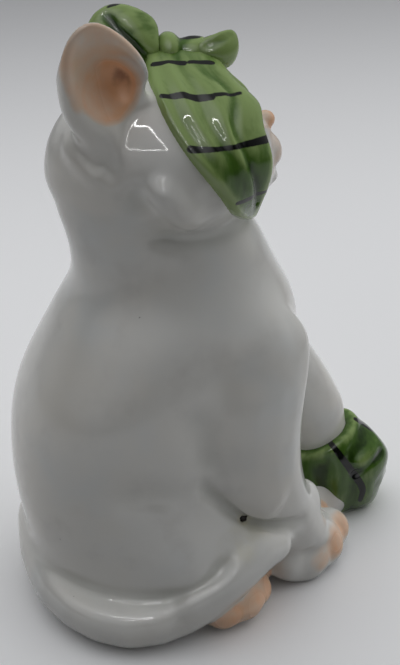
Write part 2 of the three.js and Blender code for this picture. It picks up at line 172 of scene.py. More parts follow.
def cut(a, b, fillet):
    """A lump of clay with another one cut out of it, the edge rounded."""
    return -joined(-a, b, fillet)


def rolled(field, stops, fillet):
    """Joins on a roll of clay. Each stop is a place and the roll's radius there."""
    course = bent(stops)
    window, spots = round_about(course[:, :3], course[:, 3].max() + fillet + 2)
    away, how_far = along(course, spots)
    radius = np.interp(how_far, np.linspace(0, 1, len(course)), course[:, 3])
    field[window] = joined(field[window], away - radius, fillet)


TAIL_TIP = (
    (-36.0, 14.0, 14.5, 6.0),
    (-34.6, 4.6, 19.4, 6.2),
    (-31.2, -3.5, 22.6, 6.0),
    (-28.8, -9.5, 22.2, 4.8),
)

clay["tail"] = moulded("tail")
rolled(clay["tail"], TAIL_TIP, fillet=2.0)

# Forelegs and hind feet
# The legs and feet are solid rolls of clay that are luted under the shoulders and haunches. The
# toes are rounded lumps, pressed apart with a modelling tool.


def lump(spots, middle, radii):
    """Distance from an egg of clay."""
    local = spots - np.asarray(middle, float)
    radii = np.asarray(radii, float)
    stretch = np.linalg.norm(local / radii, axis=-1)
    return stretch * (stretch - 1) / np.maximum(np.linalg.norm(local / radii**2, axis=-1), 1e-6)


def stood(piece, spots):
    """A piece of clay cut flat where it stands on the table."""
    return np.maximum(piece, -spots[..., 2])


LEGS = ("right_foreleg", "left_foreleg")
PAW_EGG = ((-11.8, -21.0, 8.6), (9.6, 11.2, 10.0))
PAW_TOES = ((-17.4, -22.6, 5.6), (-13.0, -28.6, 5.8), (-7.0, -32.2, 6.4), (-0.8, -28.2, 5.4))
PAW_TOE_RADII = (5.5, 5.7, 6.2)
PAW_FRONT = (-16.0, -26.6, 0)
PAW_FACING = (-0.72, -0.69, 0)
PAW_TRIM_TOP = 13.0
PAW_ROOM = 26
WRIST = ((-14.6, -21.8, 25.0), (4.6, 4.6, 5.6))
LEFT_LEG = ((20.5, -14.0, 60.0, 10.6), (18.8, -26.8, 41.5, 10.3), (17.3, -32.6, 32.0, 9.6))
LEFT_PAW = ((8.6, -33.4, 6.0), (8.2, 9.0, 7.2))
LEFT_PAW_ROOM = 16

for node in LEGS:
    clay[node] = moulded(node)

window, spots = round_about([PAW_EGG[0]], PAW_ROOM)
behind_front = (np.array(PAW_FRONT) - spots) @ np.array(PAW_FACING)
paw = cut(clay["right_foreleg"][window], np.maximum(behind_front, spots[..., 2] - PAW_TRIM_TOP), fillet=3.0)
paw = joined(paw, lump(spots, *PAW_EGG), fillet=2.0)
paw = joined(paw, lump(spots, *WRIST), fillet=2.5)
for toe in PAW_TOES:
    paw = joined(paw, lump(spots, toe, PAW_TOE_RADII), fillet=2.4)
clay["right_foreleg"][window] = stood(paw, spots)

rolled(clay["left_foreleg"], LEFT_LEG, fillet=3.0)
window, spots = round_about([LEFT_PAW[0]], LEFT_PAW_ROOM)
paw = joined(clay["left_foreleg"][window], lump(spots, *LEFT_PAW), fillet=1.5)
clay["left_foreleg"][window] = stood(paw, spots)

FEET = {"right_hind_foot": ((-23.4, 7.4, 6.9), -35), "left_hind_foot": ((24.6, 7.4, 6.9), 35)}
FOOT_TOE_ANGLES = (-45, -15, 15, 45)
FOOT_TOE_RADII = (3.9, 4.4, 5.0)
FOOT_TOE_REACH = (10.6, 13.6, 0)
FOOT_TOE_DROP = (0, 0, 1.2)
FOOT_ROOM = 24

foot_toes = []
for node, (middle, turn) in FEET.items():
    clay[node] = moulded(node)
    window, spots = round_about([middle], FOOT_ROOM)
    foot = clay[node][window]
    for toe_angle in FOOT_TOE_ANGLES:
        angle = math.radians(toe_angle + turn)
        towards = np.array((math.sin(angle), -math.cos(angle), 0))
        at = middle + towards * FOOT_TOE_REACH - FOOT_TOE_DROP
        foot = joined(foot, lump(spots, at, FOOT_TOE_RADII), fillet=2.0)
        foot_toes.append((at, towards))
    clay[node][window] = stood(foot, spots)

# Head
# The head is its own casting, set on the neck with a turn and a lean. Sizes and places on it are
# given in mm as the head sees them: its middle at the origin, facing -Y.


def turned(axis, degrees):
    """Rotation about x, y or z."""
    c, s = math.cos(math.radians(degrees)), math.sin(math.radians(degrees))
    i, j = [(1, 2), (2, 0), (0, 1)]["xyz".index(axis)]
    matrix = np.eye(3)
    matrix[i, i] = matrix[j, j] = c
    matrix[i, j], matrix[j, i] = -s, s
    return matrix


def swell(value, high, middle, spread):
    """A soft swell of that height at the middle, which dies away to both sides."""
    return high * np.exp(-(((value - middle) / spread) ** 2))


HEAD_MIDDLE = np.array((0.616, 13.39, 122.0))
HEAD_TURN = turned("z", -8) @ turned("x", -8) @ turned("y", 12)
HEAD_HALF_WIDE = 22.5
HEAD_FRONT = 21.0
HEAD_BACK = 28.0
HEAD_HALF_TALL = 20.25
HEAD_SWELLS = (
    ((0, -1, -0.25), 4.2, 0.42),
    ((0, -1, -0.08), 0.8, 0.16),
    ((0, -0.75, 0.66), 2.2, 0.5),
    ((0, -0.75, -0.66), 3.6, 0.4),
    ((-0.58, -0.8, 0), 5.6, 0.5),
    ((0.58, -0.8, 0), 4.4, 0.5),
    ((-0.75, -0.25, -0.6), 3.0, 0.5),
    ((0.75, -0.25, -0.6), 3.0, 0.5),
    ((0, 0.87, -0.5), 5.0, 0.35),
)


def in_head(points):
    """Points as the head sees them."""
    return (points - HEAD_MIDDLE) @ HEAD_TURN


def on_head(stops):
    """Places on the head, in the figurine's own frame."""
    return np.asarray(stops, float) @ HEAD_TURN.T + HEAD_MIDDLE


def skull(towards):
    """How far the head reaches in some directions of unit length."""
    half_long = np.where(towards[..., 1] < 0, HEAD_FRONT, HEAD_BACK)
    reach = 1 / np.sqrt(
        (towards[..., 0] / HEAD_HALF_WIDE) ** 2
        + (towards[..., 1] / half_long) ** 2
        + (towards[..., 2] / HEAD_HALF_TALL) ** 2
    )
    for middle, high, spread in HEAD_SWELLS:
        middle = np.array(middle) / np.linalg.norm(middle)
        angle = np.arccos(np.clip(towards @ middle, -1, 1))
        reach = reach + swell(angle, high, 0, spread)
    return reach


clay["head"] = moulded("head")

# Ears
# Each ear is a shallow cup of clay, luted on behind the bandage with its hollow to the side. Its
# front edge opens into the cheek and its rear edge runs down into the nape as a ridge.


def ease(value, start, end):
    """0 before start, 1 after end, and a soft rise between them."""
    t = np.clip((value - start) / (end - start), 0, 1)
    return t * t * (3 - 2 * t)


def round_node(node, reach):
    """The window of the lattice round a node of the frame, and its places."""
    return round_about([np.array(corner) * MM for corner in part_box(node)], reach)


EARS = {
    "right_ear": (-1, (-0.74, 0.46, 0.49), (0, 20, 80)),
    "left_ear": (1, (0.74, 0.46, 0.45), (-2, 28, 76)),
}
EAR_SUNK = 1.2
EAR_LEAN, EAR_LEAN_FROM, EAR_LEAN_TO = 2.0, 9, 26
EAR_AHEAD = 0.8
EAR_MIDDLE = 12.8
EAR_HALF_WIDE = 9.5
EAR_HALF_TALL = 14.8
EAR_RIM = 6.0
EAR_TAPER = 0.24
EAR_THINNER = 1.6
EAR_TIP_BEND = 1.6
EAR_ROOT = 4.5
EAR_SHELL = ((EAR_AHEAD, -4.5, EAR_MIDDLE), (EAR_HALF_WIDE, 9.4, EAR_HALF_TALL))
EAR_BACK = ((-3.2, -1.0, 8.0), (7.2, 7.0, 12.0))
EAR_DISH = ((0.4, -10.2, 13.6), (8.0, 8.8, 12.8))
EAR_PIT = ((3.2, -5.0, 10.8), (5.0, 6.2, 6.6))
EAR_MOUTH = ((7.6, -9.0, 1.8), (8.6, 7.0, 8.8))
EAR_ROOM = 6


def in_ear(node, points):
    """Points as an ear sees them: its root at the origin, its hollow facing -Y, its front to +X."""
    side, towards, (sweep, lean, turn) = EARS[node]
    towards = np.array(towards) / np.linalg.norm(towards)
    root = towards * (skull(towards) - EAR_SUNK)
    ear_turn = turned("x", sweep) @ turned("y", lean * side) @ turned("z", turn * side)
    local = (in_head(points) - root) @ ear_turn
    local[..., 0] *= -side
    local[..., 0] += EAR_LEAN * ease(local[..., 2], EAR_LEAN_FROM, EAR_LEAN_TO)
    return local


for node in EARS:
    clay[node] = moulded(node)
    window, spots = round_node(node, EAR_ROOM)
    local = in_ear(node, spots)
    up = np.clip((local[..., 2] - EAR_MIDDLE) / EAR_HALF_TALL, 0, 1) ** EAR_TIP_BEND
    shell = local.copy()
    shell[..., 0] = (local[..., 0] - EAR_AHEAD) * (1 + EAR_TAPER * up) + EAR_AHEAD
    shell[..., 1] = (local[..., 1] + EAR_RIM) * (1 + EAR_THINNER * up) - EAR_RIM
    ear = joined(lump(shell, *EAR_SHELL), lump(shell, *EAR_BACK), fillet=2.0)
    ear = cut(ear, local[..., 1] + EAR_RIM, fillet=2.4)
    head = clay["head"][window]
    ear = np.where(ear - head < EAR_ROOT - 0.1, joined(ear, head, fillet=EAR_ROOT), ear)
    hollow = joined(lump(shell, *EAR_DISH), lump(shell, *EAR_PIT), fillet=5.0)
    mouth = joined(hollow, lump(local, *EAR_MOUTH), fillet=3.0)
    clay[node][window] = cut(ear, mouth, fillet=1.6)
    clay["head"][window] = cut(head, hollow, fillet=1.2)

# Luting and sponging
# The leather-hard pieces are scored, luted with slip and wiped over with a sponge, so that their
# joints all but vanish. The tool marks and the small forms of the face are then sharpened.

SLIP_FILL = 0.35
SPONGE = {
    "torso": 2.6,
    "head": 1.7,
    "right_ear": 0.8,
    "left_ear": 0.8,
    "right_foreleg": 1.8,
    "left_foreleg": 1.8,
    "right_hind_foot": 1.0,
    "left_hind_foot": 1.0,
    "tail": 1.5,
}
FINE_SPONGE = 0.8
COARSE_SPONGE = 2.6
BROAD_SPONGE = 5.0
SPONGE_BLEND = 2.5
PAW_CRISP_BELOW, PAW_SOFT_ABOVE, PAW_CRISP_ROOM = 15, 24, 20


def skin_of(field, level=0.0, start=0, coarse=1):
    """Points in mm and quads of the skin where a field, or a part of it, passes a level."""
    grid = openvdb.FloatGrid(LATTICE_REACH)
    grid.copyFromArray(np.ascontiguousarray(field / LATTICE_PITCH, np.float32))
    points, quads = grid.convertToQuads(level / LATTICE_PITCH)
    return (points.astype(np.float64) * coarse + start) * LATTICE_PITCH + clay_low, quads


def sponged(field, spread):
    """A field smoothed with a soft sponge of that spread in mm."""
    sigma = spread / LATTICE_PITCH
    reach = int(3 * sigma + 0.5)
    weights = np.exp(-0.5 * (np.arange(reach + 1) / sigma) ** 2)
    weights = (weights / (2 * weights.sum() - weights[0])).astype(np.float32)
    for axis in range(3):
        ends = [(reach, reach) if a == axis else (0, 0) for a in range(3)]
        padded = np.pad(field, ends, mode="edge")
        window = [slice(None)] * 3
        total = np.zeros_like(field)
        for shift in range(-reach, reach + 1):
            window[axis] = slice(reach + shift, reach + shift + field.shape[axis])
            total += weights[abs(shift)] * padded[tuple(window)]
        field = total
    return field


def pressed(field, stops, width, depth, fade):
    """A groove drawn in the clay with a tool, or with a negative depth a ridge laid on."""
    course = bent(stops)
    window, spots = round_about(course, 3 * width)
    away, how_far = along(course, spots)
    strength = ease(how_far, 0, fade) * ease(1 - how_far, 0, fade) if fade else 1.0
    field[window] += (strength * swell(away, depth, 0, width)).astype(np.float32)


nearest = np.minimum.reduce(list(clay.values()))
luted_points, luted_quads = skin_of(nearest, SLIP_FILL)
luted_faces = np.concatenate([luted_quads[:, [0, 1, 2]], luted_quads[:, [0, 2, 3]]])
luted = depth_in(luted_points, luted_faces) + np.float32(SLIP_FILL)

softness = np.zeros(clay_count, np.float32)
for node, spread in SPONGE.items():
    share = (spread**2 - FINE_SPONGE**2) / (COARSE_SPONGE**2 - FINE_SPONGE**2)
    softness[clay[node] == nearest] = share
window, spots = round_about([PAW_EGG[0]], PAW_CRISP_ROOM)
softness[window] *= ease(spots[..., 2], PAW_CRISP_BELOW, PAW_SOFT_ABOVE).astype(np.float32)
softness = sponged(softness, SPONGE_BLEND)
body = sponged(luted, FINE_SPONGE)
body += softness * (sponged(luted, COARSE_SPONGE) - body)

NAPE = ((-20, 20, 103), (-15, 34, 104), (0, 41, 105), (15, 34, 104), (20, 20, 103))
RIGHT_SHOULDER = ((-24, -6, 90), (-25, -6, 80))
LEFT_SHOULDER = ((25, -6, 88), (25, -8, 78))
broad = sponged(luted, BROAD_SPONGE)
for stops, inner, outer in ((NAPE, 6, 14), (RIGHT_SHOULDER, 7, 16), (LEFT_SHOULDER, 7, 16)):
    course = bent(stops)
    window, spots = round_about(course, outer)
    away = along(course, spots)[0]
    body[window] += (1 - ease(away, inner, outer)).astype(np.float32) * (broad[window] - body[window])
del broad

TAIL_GROOVE = (
    (-15.3, 49.4, 16.0),
    (-28.1, 41.7, 15.2),
    (-35.8, 29.9, 15.5),
    (-37.1, 17.2, 16.9),
    (-37.4, 10.3, 19.9),
    (-37.0, 6.4, 24.1),
    (-34.9, 3.6, 26.8),
)
THIGH_CREASE = ((-29.8, 36.9, 43.2), (-32.4, 28.5, 45.1), (-33.3, 21.3, 45.2), (-32.4, 9.8, 43.3))
ELBOW_CREASE = (
    (-32.0, 9.7, 51.2),
    (-32.3, 9.8, 45.4),
    (-31.7, 7.1, 42.3),
    (-30.9, 4.1, 38.4),
    (-28.9, -0.9, 32.2),
    (-28.3, -6.2, 29.3),
    (-27.8, -11.5, 27.3),
    (-26.0, -17.2, 25.9),
    (-23.5, -20.9, 25.4),
)
LEG_REAR = ((-30.3, 14.7, 69.9), (-31.5, 11.1, 62.4), (-31.8, 9.4, 54.1), (-32.0, 9.6, 48.0))
ELBOW_SWELL = ((-31.0, 5.0, 50.0), (-30.2, 0.5, 42.5), (-29.6, -5.0, 37.5), (-28.0, -12.0, 34.5))
EAR_RIDGE = (
    (-3.0, 35.5, 134.0),
    (-7.6, 36.0, 129.5),
    (-11.4, 34.9, 126.5),
    (-15.6, 31.3, 123.1),
    (-17.6, 28.5, 121.0),
)
EAR_SHADOW = ((-14.6, 30.4, 129.0), (-16.6, 29.4, 125.6), (-18.8, 26.4, 122.5))
CHEEK_ROLL = ((-20.6, 21.5, 124.0), (-22.7, 16.7, 120.0), (-23.1, 12.5, 115.6), (-20.0, 7.4, 111.0))
CHEEK_HOLLOW = ((-18.4, 26.4, 121.0), (-19.8, 23.3, 117.9), (-19.8, 20.4, 113.5))
JAW_CREASE = (
    (-18.1, 23.6, 112.4),
    (-17.2, 18.4, 109.0),
    (-18.3, 13.7, 107.8),
    (-17.9, 8.0, 106.7),
    (-16.3, 2.4, 106.2),
    (-12.9, -2.3, 107.0),
)
OUTER_TOE_CREASE = ((-14.6, -25.8, 12.5), (-17.6, -27.6, 9.0), (-18.6, -28.4, 3.0))
MIDDLE_TOE_CREASE = ((-9.0, -30.0, 13.0), (-11.8, -34.0, 9.5), (-12.6, -35.6, 3.0))
INNER_TOE_CREASE = ((-3.0, -29.6, 12.5), (-1.2, -33.0, 8.5), (-0.6, -34.0, 3.0))
TOOL_MARKS = (
    (TAIL_GROOVE, 2.4, 2.0, 0.2),
    (THIGH_CREASE, 4.0, 1.2, 0.4),
    (ELBOW_CREASE, 1.8, 2.2, 0.2),
    (LEG_REAR, 4.0, 1.0, 0.3),
    (ELBOW_SWELL, 5.5, -1.6, 0.2),
    (EAR_RIDGE, 2.6, -1.6, 0.35),
    (EAR_SHADOW, 3.0, 1.1, 0.4),
    (CHEEK_ROLL, 3.0, -3.3, 0.35),
    (CHEEK_HOLLOW, 3.4, 2.1, 0.4),
    (JAW_CREASE, 2.6, 1.4, 0.35),
    (OUTER_TOE_CREASE, 1.5, 0.6, 0.3),
    (MIDDLE_TOE_CREASE, 1.5, 0.4, 0.3),
    (INNER_TOE_CREASE, 1.5, 0.6, 0.3),
)
for mark in TOOL_MARKS:
    pressed(body, *mark)


def read_at(field, points):
    """A field's value at points, between the lattice points."""
    spot = np.clip((points - clay_low) / LATTICE_PITCH, 0, clay_count - 1.001)
    base = spot.astype(int)
    part = spot - base
    total = np.zeros(len(points))
    for corner in range(8):
        bits = [(corner >> axis) & 1 for axis in range(3)]
        share = np.prod([part[:, a] if bits[a] else 1 - part[:, a] for a in range(3)], axis=0)
        total += share * field[tuple(base[:, a] + bits[a] for a in range(3))]
    return total


def slope_at(field, points):
    """Outward direction of a field at points."""
    slope = np.empty_like(points)
    for axis in range(3):
        step = np.zeros(3)
        step[axis] = LATTICE_PITCH
        slope[:, axis] = read_at(field, points + step) - read_at(field, points - step)
    return slope / np.maximum(np.linalg.norm(slope, axis=1, keepdims=True), 1e-9)


def seated(place):
    """The place on the sponged skin nearest to one beside it."""
    place = np.array([place], float)
    for _ in range(6):
        place -= read_at(body, place)[:, None] * slope_at(body, place)
    return place[0]


VENT = seated((-28.5, -1.4, 31.5))
VENT_RADII = (1.0, 1.0, 1.0)
window, spots = round_about([VENT], 3)
body[window] = np.maximum(body[window], -lump(spots, VENT, VENT_RADII))


def on_face(x, z):
    """The place on the front of the head at x and z, as the head sees it."""
    depth = HEAD_FRONT
    for _ in range(5):
        towards = np.array((x, -depth, z))
        depth = math.sqrt(skull(towards / np.linalg.norm(towards)) ** 2 - x * x - z * z)
    return np.array((x, -depth, z))


FACE_MIDDLE, FACE_ROOM = (0, -3), 22
EYE_X, EYE_Z = 6.4, 7.4
EYE_HALF_WIDE, EYE_HALF_TALL, EYE_SLANT = 3.2, 2.8, 14.0
EYE_RIM, EYE_RIM_WIDE, EYE_RIM_DEEP = 1.15, 1.1, 0.55
NOSE_Z, NOSE_HALF_WIDE, NOSE_HALF_TALL = 3.6, 2.7, 2.2
PAD_X, PAD_Z = 3.5, -3.2
PAD_RADII = (4.5, 3.4, 4.2)
CHIN_Z, CHIN_RADII = -9.8, (3.2, 2.8, 2.2)
MOUTH_TOP, MOUTH_MIDDLE, MOUTH_Z = 1.0, -3.0, -6.2
MOUTH_WIDE, MOUTH_DEEP, MOUTH_AHEAD = 0.8, 0.7, (0, 0.5, 0)
SMILE = ((0, MOUTH_Z), (1.8, MOUTH_Z - 1.3), (4.2, MOUTH_Z - 1.3), (6.2, MOUTH_Z + 0.2))
FACE_FORMS = (
    ((PAD_X, PAD_Z), PAD_RADII, 2.6),
    ((-PAD_X, PAD_Z), PAD_RADII, 2.6),
    ((0, CHIN_Z), CHIN_RADII, 2.2),
    ((0, NOSE_Z), (NOSE_HALF_WIDE, 2.4, NOSE_HALF_TALL), -0.2),
    ((EYE_X, EYE_Z), (EYE_HALF_WIDE, 3.0, EYE_HALF_TALL), 2.5),
    ((-EYE_X, EYE_Z), (EYE_HALF_WIDE, 3.0, EYE_HALF_TALL), 2.5),
)

for side in (-1, 1):
    rim = []
    for t in np.linspace(0, 2 * np.pi, 9):
        out = EYE_RIM * EYE_HALF_WIDE * math.cos(t)
        rim.append(on_face(side * EYE_X + out, EYE_Z + EYE_RIM * EYE_HALF_TALL * math.sin(t)))
    pressed(body, on_head(rim), EYE_RIM_WIDE, EYE_RIM_DEEP, fade=0)
window, spots = round_about([on_head(on_face(*FACE_MIDDLE))], FACE_ROOM)
local = in_head(spots)
face = body[window]
for place, radii, sunk in FACE_FORMS:
    face = joined(face, lump(local, on_face(*place) + (0, sunk, 0), radii), fillet=0.9)
body[window] = face
lip = [on_face(0, z) - MOUTH_AHEAD for z in (MOUTH_TOP, MOUTH_MIDDLE, MOUTH_Z)]
pressed(body, on_head(lip), MOUTH_WIDE, MOUTH_DEEP, fade=0.1)
for side in (-1, 1):
    smile = [on_face(side * x, z) - MOUTH_AHEAD for x, z in SMILE]
    pressed(body, on_head(smile), MOUTH_WIDE, MOUTH_DEEP, fade=0.12)

SEAM_OVERLAP = 5.0
SEAM_DIP = 0.04
FAR_OFF = 99

second = np.full(clay_count, FAR_OFF, np.float32)
for node in SPONGE:
    second = np.where(clay[node] > nearest, np.minimum(second, clay[node]), second)


def parted(node):
    """One piece of the body, parted from its neighbours under the skin."""
    own = clay[node]
    ahead = own - np.where(own == nearest, second, nearest)
    return np.maximum(body + np.float32(SEAM_DIP) * ease(ahead, -0.3, 0.8), ahead - SEAM_OVERLAP)


# White glaze
# The fired body is dipped in a clear gloss glaze, which pools in the creases, and the creases are darkened
# with painted shade.
# Ears, nose and toes are brushed with peach underglaze, the eyes and the mouth with fine dark lines. The
# ear pits and the vent hole are darkened with painted shade.

CARVE_ROOM = 1.5
CARVE_STEP = 0.4
ON_SKIN = 0.3


def placed(name, data):
    """A new object in the scene."""
    thing = bpy.data.objects.new(name, data)
    bpy.context.scene.collection.objects.link(thing)
    return thing


def carve(name, field, skin, coarse=1):
    """A closed mesh on the zero level of a field, shaded by the skin that it lies in."""
    box = np.argwhere(field < CARVE_ROOM)
    start = np.maximum(box.min(0) - 2 * coarse, 0)
    stop = np.minimum(box.max(0) + 2 * coarse + 1, clay_count)
    crop = field[tuple(slice(a, b, coarse) for a, b in zip(start, stop))]
    points, quads = skin_of(crop, 0.0, start, coarse)
    for _ in range(3):
        away = slope_at(field, points)
        points -= np.clip(read_at(field, points), -CARVE_STEP, CARVE_STEP)[:, None] * away
    points[:, 2] = np.maximum(points[:, 2], 0)
    corner = points[quads]
    volume = np.einsum("ij,ij->i", corner[:, 0], np.cross(corner[:, 1], corner[:, 2])).sum()
    volume += np.einsum("ij,ij->i", corner[:, 0], np.cross(corner[:, 2], corner[:, 3])).sum()
    if volume < 0:
        quads = quads[:, ::-1]
    mesh = bpy.data.meshes.new(name)
    mesh.from_pydata((points / MM).tolist(), [], quads.tolist())
    mesh.shade_smooth()
    mesh.update()
    facing = slope_at(field, points)
    in_skin = np.abs(read_at(skin, points)) < ON_SKIN
    facing[in_skin] = slope_at(skin, points[in_skin])
    mesh.normals_split_custom_set_from_vertices(facing.tolist())
    return placed(name, mesh), points, facing


def paint_by(shape, name, values):
    """Stores a value for every point of a piece, for its material."""
    layer = shape.data.attributes.new(name, "FLOAT", "POINT")
    layer.data.foreach_set("value", np.asarray(values, np.float32))


class Wire:
    """A value, vector or colour in a material's nodes."""

    def __init__(self, tree, socket=None):
        self.tree = tree
        self.socket = socket

    def add(self, kind, settings=None, sockets=None, out=0):
        """Adds a node with its settings, socket values and links."""
        node = self.tree.nodes.new(kind)
        for name, value in (settings or {}).items():
            setattr(node, name, value)
        for name, value in (sockets or {}).items():
            if isinstance(value, Wire):
                self.tree.links.new(value.socket, node.inputs[name])
            else:
                node.inputs[name].default_value = value
        return Wire(self.tree, node.outputs[out])

    def maths(self, operation, *values):
        """Adds a Math node."""
        return self.add("ShaderNodeMath", {"operation": operation}, dict(enumerate(values)))

    def __add__(self, other):
        return self.maths("ADD", self, other)

    __radd__ = __add__

    def __sub__(self, other):
        return self.maths("SUBTRACT", self, other)

    def __rsub__(self, other):
        return self.maths("SUBTRACT", other, self)

    def __mul__(self, other):
        return self.maths("MULTIPLY", self, other)

    __rmul__ = __mul__

    def rise(self, start, end):
        """0 below start and 1 above end, softly."""
        settings = {"interpolation_type": "SMOOTHSTEP"}
        return self.add("ShaderNodeMapRange", settings, {"Value": self, 1: start, 2: end})

    def over(self, under, colour):
        """A colour laid over another one by this mask."""
        return self.add("ShaderNodeMix", {"data_type": "RGBA"}, {0: self, 6: under, 7: colour}, 2)

    def stored(self, name, out=2):
        """What is stored under a name for every point of the piece."""
        return self.add("ShaderNodeAttribute", {"attribute_name": name}, out=out)

    def place(self):
        """The place on the object."""
        return self.add("ShaderNodeTexCoord", out=3)

    def noise(self, size, detail=2.0, where=None):
        """Soft random clouds of that size in mm."""
        sockets = {"Vector": where or self.place(), "Scale": MM / size, "Detail": detail}
        return self.add("ShaderNodeTexNoise", None, sockets)

    def feeds(self, shader, name):
        """Links this value to a socket of the shader."""
        self.tree.links.new(self.socket, shader.inputs[name])


def finish_named(name):
    """A new material, its shader, and a wire to begin with."""
    material = bpy.data.materials.new(name)
    material.use_nodes = True
    return material, material.node_tree.nodes["Principled BSDF"], Wire(material.node_tree)


def colour(red, green, blue):
    """An opaque colour."""
    return (red, green, blue, 1.0)


WHITE = colour(0.72, 0.715, 0.69)
WHITE_WARM = colour(0.74, 0.715, 0.665)
WHITE_COOL = colour(0.69, 0.70, 0.69)
WHITE_GREY = colour(0.60, 0.585, 0.56)
POOLED_GLAZE_AND_SHADE = colour(0.56, 0.565, 0.52)
PEACH_PALE = colour(0.78, 0.59, 0.45)
PEACH = colour(0.84, 0.45, 0.24)
# Painted shade over the peach, in the ear pits.
PEACH_IN_PAINTED_SHADE = colour(0.25, 0.085, 0.03)
STAIN = colour(0.60, 0.56, 0.36)
IRIS = colour(0.09, 0.25, 0.27)
# Dark ink, also used as painted shade in the vent hole.
INK_AND_HOLE_SHADE = colour(0.035, 0.025, 0.02)
GLEAM = colour(0.85, 0.85, 0.84)
GLAZE_IOR = 1.5
GLAZE_WAVES = {"Strength": 0.3, "Distance": 0.0004}
PITS_PER_METRE = 85.0


def white_glaze():
    """Clear gloss glaze over the white body, with its brushwork, pits and specks, and painted shade in the
    creases.
    """
    material, shader, glaze = finish_named("white glaze")
    base = glaze.noise(34, 3).rise(0.35, 0.75).over(WHITE, WHITE_WARM)
    base = glaze.noise(21, 2).rise(0.5, 0.8).over(base, WHITE_COOL)
    base = (glaze.noise(12, 4).rise(0.48, 0.76) * 0.55).over(base, WHITE_GREY)
    # Pooled glaze and painted shade: the crease mask darkens the white in the creases.
    base = (glaze.stored("hollow") * 0.75).over(base, POOLED_GLAZE_AND_SHADE)
    base = (glaze.stored("stain") * glaze.noise(7, 3).rise(0.3, 0.7)).over(base, STAIN)
    peach = glaze.stored("peach")
    streaks = glaze.noise(4.5, 4)
    laid = peach + (streaks - 0.5) * 0.5 * peach.rise(0, 0.3)
    base = laid.rise(0.03, 0.42).over(base, PEACH_PALE)
    base = laid.rise(0.34, 0.80).over(base, PEACH)
    # The darkest step is painted shade, reached in the ear pits.
    base = laid.rise(0.86, 1.25).over(base, PEACH_IN_PAINTED_SHADE)
    base = glaze.stored("iris").rise(0.44, 0.56).over(base, IRIS)
    # The ink mask also blackens the vent hole as painted shade.
    base = glaze.stored("ink").rise(0.42, 0.58).over(base, INK_AND_HOLE_SHADE)
    base = glaze.stored("gleam").rise(0.42, 0.58).over(base, GLEAM)
    pits = glaze.add("ShaderNodeTexVoronoi", None, {"Vector": glaze.place(), "Scale": PITS_PER_METRE})
    chosen = Wire(pits.tree, pits.socket.node.outputs["Color"])
    some = glaze.add("ShaderNodeSeparateColor", None, {"Color": chosen})
    pit = (1 - pits.rise(0.018, 0.04)) * some.rise(0.86, 0.87)
    base = pit.over(base, INK_AND_HOLE_SHADE)
    base.feeds(shader, "Base Color")
    (0.03 + glaze.noise(16, 3) * 0.05 + peach * 0.38).feeds(shader, "Roughness")
    waves = glaze.noise(11, 1.5) + glaze.noise(3.2, 2) * 0.12 - pit * 0.5
    glaze.add("ShaderNodeBump", None, {"Height": waves, **GLAZE_WAVES}).feeds(shader, "Normal")
    shader.inputs["IOR"].default_value = GLAZE_IOR
    return material


# Spread and depth of the crease mask, which holds both pooled glaze and painted shade.
POOL_AND_SHADE_SPREAD, POOL_AND_SHADE_DEEP = 3.0, 1.5

white_finish = white_glaze()
crease_pooling_and_shade = sponged(body, POOL_AND_SHADE_SPREAD)

EAR_WASH = 0.40
EAR_PEACH_AT, EAR_PEACH_REACH, EAR_PEACH_SLANT = (0.6, 10.6), (7.4, 8.8), 0.15
EAR_PEACH_STRENGTH = 0.52
EAR_PIT_SHADE_AT, EAR_PIT_SHADE_SPREAD, EAR_PIT_SHADE_STRENGTH = (5.4, 10.2), (3.8, 4.8), 0.46
EAR_HOLLOW_FRONT, EAR_HOLLOW_BACK = -9, 4


def ear_peach(points, facing):
    """How much peach the brush left in the ears' hollows: a thin wash and a fuller coat, with painted shade
    that deepens it towards the front and most in the pit.
    """
    laid = np.zeros(len(points))
    for node in EARS:
        local = in_ear(node, points)
        outward = in_ear(node, points + facing) - local
        x, y, z = local.T
        out = np.hypot((x - EAR_AHEAD) / EAR_HALF_WIDE, (z - EAR_MIDDLE) / EAR_HALF_TALL)
        lowest = 5 + 8 * ease(x, 0, 6)
        wash = EAR_WASH * (1 - ease(out, 0.90, 1.08)) * ease(z, lowest, lowest + 5)
        soft = 0.14 + 0.50 * ease(z, 8, 16) + 0.16 * ease(x, 1, 6)
        across = (x - EAR_PEACH_AT[0]) / EAR_PEACH_REACH[0]
        upward = (z + EAR_PEACH_SLANT * x - EAR_PEACH_AT[1]) / EAR_PEACH_REACH[1]
        full = 1 - ease(np.hypot(across, upward), 1 - soft, 1.04 + 0.3 * soft)
        # Painted shade: the peach darkens to brown towards the front and most in the pit, under the front
        # rim.
        pit_shade = swell(x, EAR_PIT_SHADE_STRENGTH, EAR_PIT_SHADE_AT[0], EAR_PIT_SHADE_SPREAD[0])
        pit_shade = swell(z, pit_shade, EAR_PIT_SHADE_AT[1], EAR_PIT_SHADE_SPREAD[1])
        strength = EAR_PEACH_STRENGTH + 0.18 * ease(x, -3, 5) + pit_shade
        seen = ease(-outward[:, 1], -0.35, 0.15) * (y > EAR_HOLLOW_FRONT) * (y < EAR_HOLLOW_BACK)
        laid = np.maximum(laid, seen * np.maximum(wash, full * strength))
    return laid


def dabbed(points, dabs):
    """How much colour some dabs of the brush left. A dab is a place, a reach in mm and a strength."""
    laid = np.zeros(len(points))
    for at, reach, strength in dabs:
        away = np.linalg.norm(points - at, axis=1)
        laid = np.maximum(laid, strength * (1 - ease(away, 0.3 * reach, reach)))
    return laid


